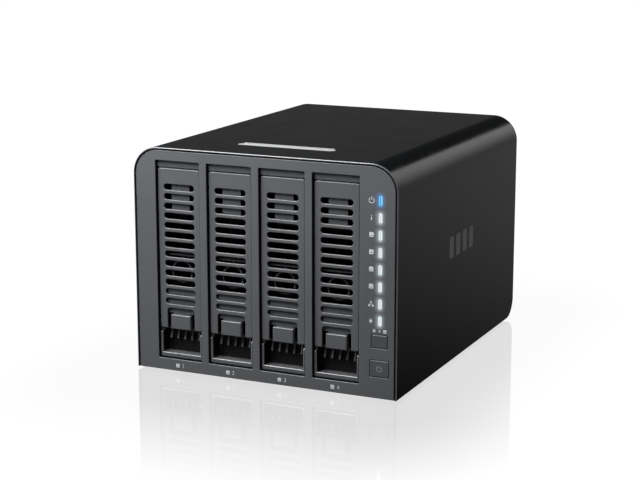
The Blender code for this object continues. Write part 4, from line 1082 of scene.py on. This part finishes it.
# --- Rear ---
def make_lan_port():
    """Network socket: a tinned shield round a black throat with eight contacts and two lamp windows."""
    centre, width, height, back, face = face_of("lan_port")
    x, foot = centre[0], centre[1] - height / 2
    half, clip, sill, top = 5.9 * MM, 3 * MM, foot + 2 * MM, foot + 10 * MM
    mouth = symmetric(x, [(clip, sill - 1.2 * MM), (clip, sill), (half, sill), (half, top)])
    lamps = [
        rounded((x + side * 4.6 * MM, foot + 11.7 * MM), 3.4 * MM, 1.7 * MM, 0.2 * MM, 2) for side in (-1, 1)
    ]
    outline = rounded(centre, width, height, 0.5 * MM, 3)
    core = moved_in(outline, 0.45 * MM)
    throat = face - 13 * MM
    wire = [
        (face - 2.4 * MM, top), (face - 3.2 * MM, top + 0.1 * MM),
        (face - 9.2 * MM, top - 3.5 * MM), (face - 8.6 * MM, top - 3.8 * MM),
    ]
    wire_x = [x + (i - 3.5) * 1.02 * MM for i in range(8)]
    parts = [
        (plate(outline, [mouth, *lamps], "Y", face, face - 0.5 * MM, 0.18 * MM), PLATED),
        (plate(outline, [core], "Y", face - 0.4 * MM, back, 0), PLATED),
        (plate(core, [mouth], "Y", face - 0.45 * MM, throat, 0), SOCKET),
        (prism(core, "Y", throat, back), SOCKET),
        *((prism(lamp, "Y", face - 0.15 * MM, face - 0.46 * MM), CLEAR) for lamp in lamps),
        *((prism(wire, "X", *about(at, 0.22 * MM)), GOLD) for at in wire_x),
    ]
    assembled(parts, "lan_socket", "port_metal", "lan_port")


def make_usb_ports():
    """Two USB sockets in one tinned shell, each with a blue tongue and its contacts."""
    centre, width, height, back, face = face_of("usb_ports")
    x, foot, deep_end = centre[0], centre[1] - height / 2, face - 9 * MM
    outline = rounded(centre, width, height, 0.6 * MM, 3)
    sills = (foot + 1.6 * MM, foot + 8.9 * MM)
    mouths = [rounded((x, sill + 2.55 * MM), 12.5 * MM, 5.1 * MM, 0.4 * MM, 3) for sill in sills]
    parts = [
        (plate(outline, mouths, "Y", face, deep_end, 0.2 * MM), PLATED),
        (prism(outline, "Y", deep_end, back), PLATED),
    ]
    for sill in sills:
        low = sill + 2.6 * MM
        tongue_y, pad_y = (face - 9.5 * MM, face - 1.2 * MM), (face - 8.9 * MM, face - 2 * MM)
        parts.append((block(about(x, 5.5 * MM), tongue_y, (low, sill + 4.3 * MM), 0.25 * MM), BLUE_TONGUE))
        for i in range(4):
            pad_x = about(x + (i - 1.5) * 2.3 * MM, 0.5 * MM)
            parts.append((block(pad_x, pad_y, (low - 0.12 * MM, low + 0.2 * MM)), GOLD))
    assembled(parts, "usb_sockets", "port_metal", "usb_ports")


def make_power_inlet():
    """Round low-voltage inlet: a black block, a tinned barrel in it and a round-nosed centre pin."""
    centre, width, height, back, face = face_of("power_inlet")
    bore, barrel, deep_end = circle(centre, 3.3 * MM), circle(centre, 2.95 * MM), face - 9 * MM
    outline = rounded(centre, width, height, 0.6 * MM, 3)
    parts = [
        (plate(outline, [bore], "Y", face, deep_end, 0.3 * MM), SOCKET),
        (prism(outline, "Y", deep_end, back), SOCKET),
        (plate(bore, [barrel], "Y", face - 0.7 * MM, deep_end, 0.1 * MM), PLATED),
        (disc("Y", centre, 1.0 * MM, face - 10 * MM, face - 1 * MM, 32, 0.5 * MM), PLATED),
    ]
    assembled(parts, "inlet_socket", "socket_black", "power_inlet")


def make_screws():
    """Low domed heads with a cross recess."""
    for stem, shank_r in (("rear_screw", 1.45 * MM), ("fan_screw", 1.9 * MM)):
        at, width, _, front, face = face_of(f"{stem}_1")
        head_r, tall = width / 2, 1.9 * MM
        seat = face - tall
        profile = [(head_r - 0.15 * MM, 0), (head_r, 0.15 * MM)]
        for t in (math.radians(10 * i) for i in range(9)):
            rise = math.sin(t) / math.sin(math.radians(80))
            profile.append((head_r * (0.2 + 0.8 * math.cos(t)), tall * (0.3 + 0.7 * rise)))
        head = turned(profile, "Y", at, seat, 40)
        arm, half = 0.50 * head_r, 0.12 * head_r
        corners = ((half, -arm), (half, -half), (arm, -half), (arm, half), (half, half), (half, arm))
        cross = symmetric(at[0], [(across, at[1] + up) for across, up in corners])
        cut(head, prism(cross, "Y", seat + 0.6 * tall, seat + 2 * tall))
        screw = merged([head, disc("Y", at, shank_r, front, seat + 0.1 * MM, 20)])
        placed_four(screw, stem + "_head_{}", PLATED, "port_metal", stem + "_{}", sharp_deg=40)


def make_feet():
    """Rubber pads with a softly rounded rim."""
    low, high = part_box("foot_1")
    radius, tall, soft, upper = (high.x - low.x) / 2, high.z - low.z, 0.9 * MM, 0.2 * MM
    profile = [(radius - inset, up) for inset, up in quarter_round(0, soft, 1, 6)]
    profile += [(radius, tall - upper), (radius - upper, tall)]
    foot = turned(profile, "Z", middle_of("foot_1"), low.z, 64)
    placed_four(foot, "foot_pad_{}", RUBBER, "foot_rubber", "foot_{}", sharp_deg=40)


def make_rear_printing():
    """Plain signs over the ports: network, plug, direct current and a ring at the reset pinhole."""
    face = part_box("rear_panel")[1].y

    def over(node):
        (x, z), _, height, *_ = face_of(node)
        return x, z + height / 2 + 4 * MM

    (inlet_x, inlet_z), (reset_x, reset_z) = over("power_inlet"), face_of("reset_button")[0]
    symbols = [
        *network_symbol(*over("lan_port"), 4.6 * MM),
        *plug_symbol(*over("usb_ports"), 4.6 * MM),
        *bar(inlet_x, inlet_z + 0.6 * MM, 5 * MM, 0.5 * MM),
        *ring((reset_x, reset_z + 5 * MM), 1.6 * MM, 0.4 * MM, 50),
    ]
    for i in (-1, 0, 1):
        symbols += bar(inlet_x + i * 1.8 * MM, inlet_z - 0.6 * MM, 1.3 * MM, 0.5 * MM)
    placed(printed(symbols, "Y", face + 0.03 * MM, face - 0.1 * MM), "rear_printing", INK, "rear_paint")


# --- Carried-over CAD nodes ---
def paint_cad_nodes():
    paints = {
        "cover_black": COVER, "bezel_grey": BEZEL, "tray_grey": TRAY_SHADE_BLACK, "accent_silver": SILVER,
        "steel": STEEL, "rear_paint": REAR, "circuit_board": BOARD, "socket_black": SOCKET,
        "port_metal": PLATED, "fan_black": FAN, "clear_guide": CLEAR, "foot_rubber": RUBBER,
        "heatsink_alloy": ALLOY,
    }
    slots = {row["node"]: row["material_slot"] for row in frame["record"]["subparts"]}
    for name, node in frame["nodes"].items():
        node.data.materials.clear()
        node.data.materials.append(paints[slots[name]].material)
        if not node.hide_render:
            bevelled(node, 0.2 * MM, 1)


make_studio()
make_cover()
make_accent_bar()
make_bezel()
make_buttons()
make_light_guide()
make_printing()
make_side_mark()
make_bays()
make_lan_port()
make_usb_ports()
make_power_inlet()
make_screws()
make_feet()
make_rear_printing()
paint_cad_nodes()
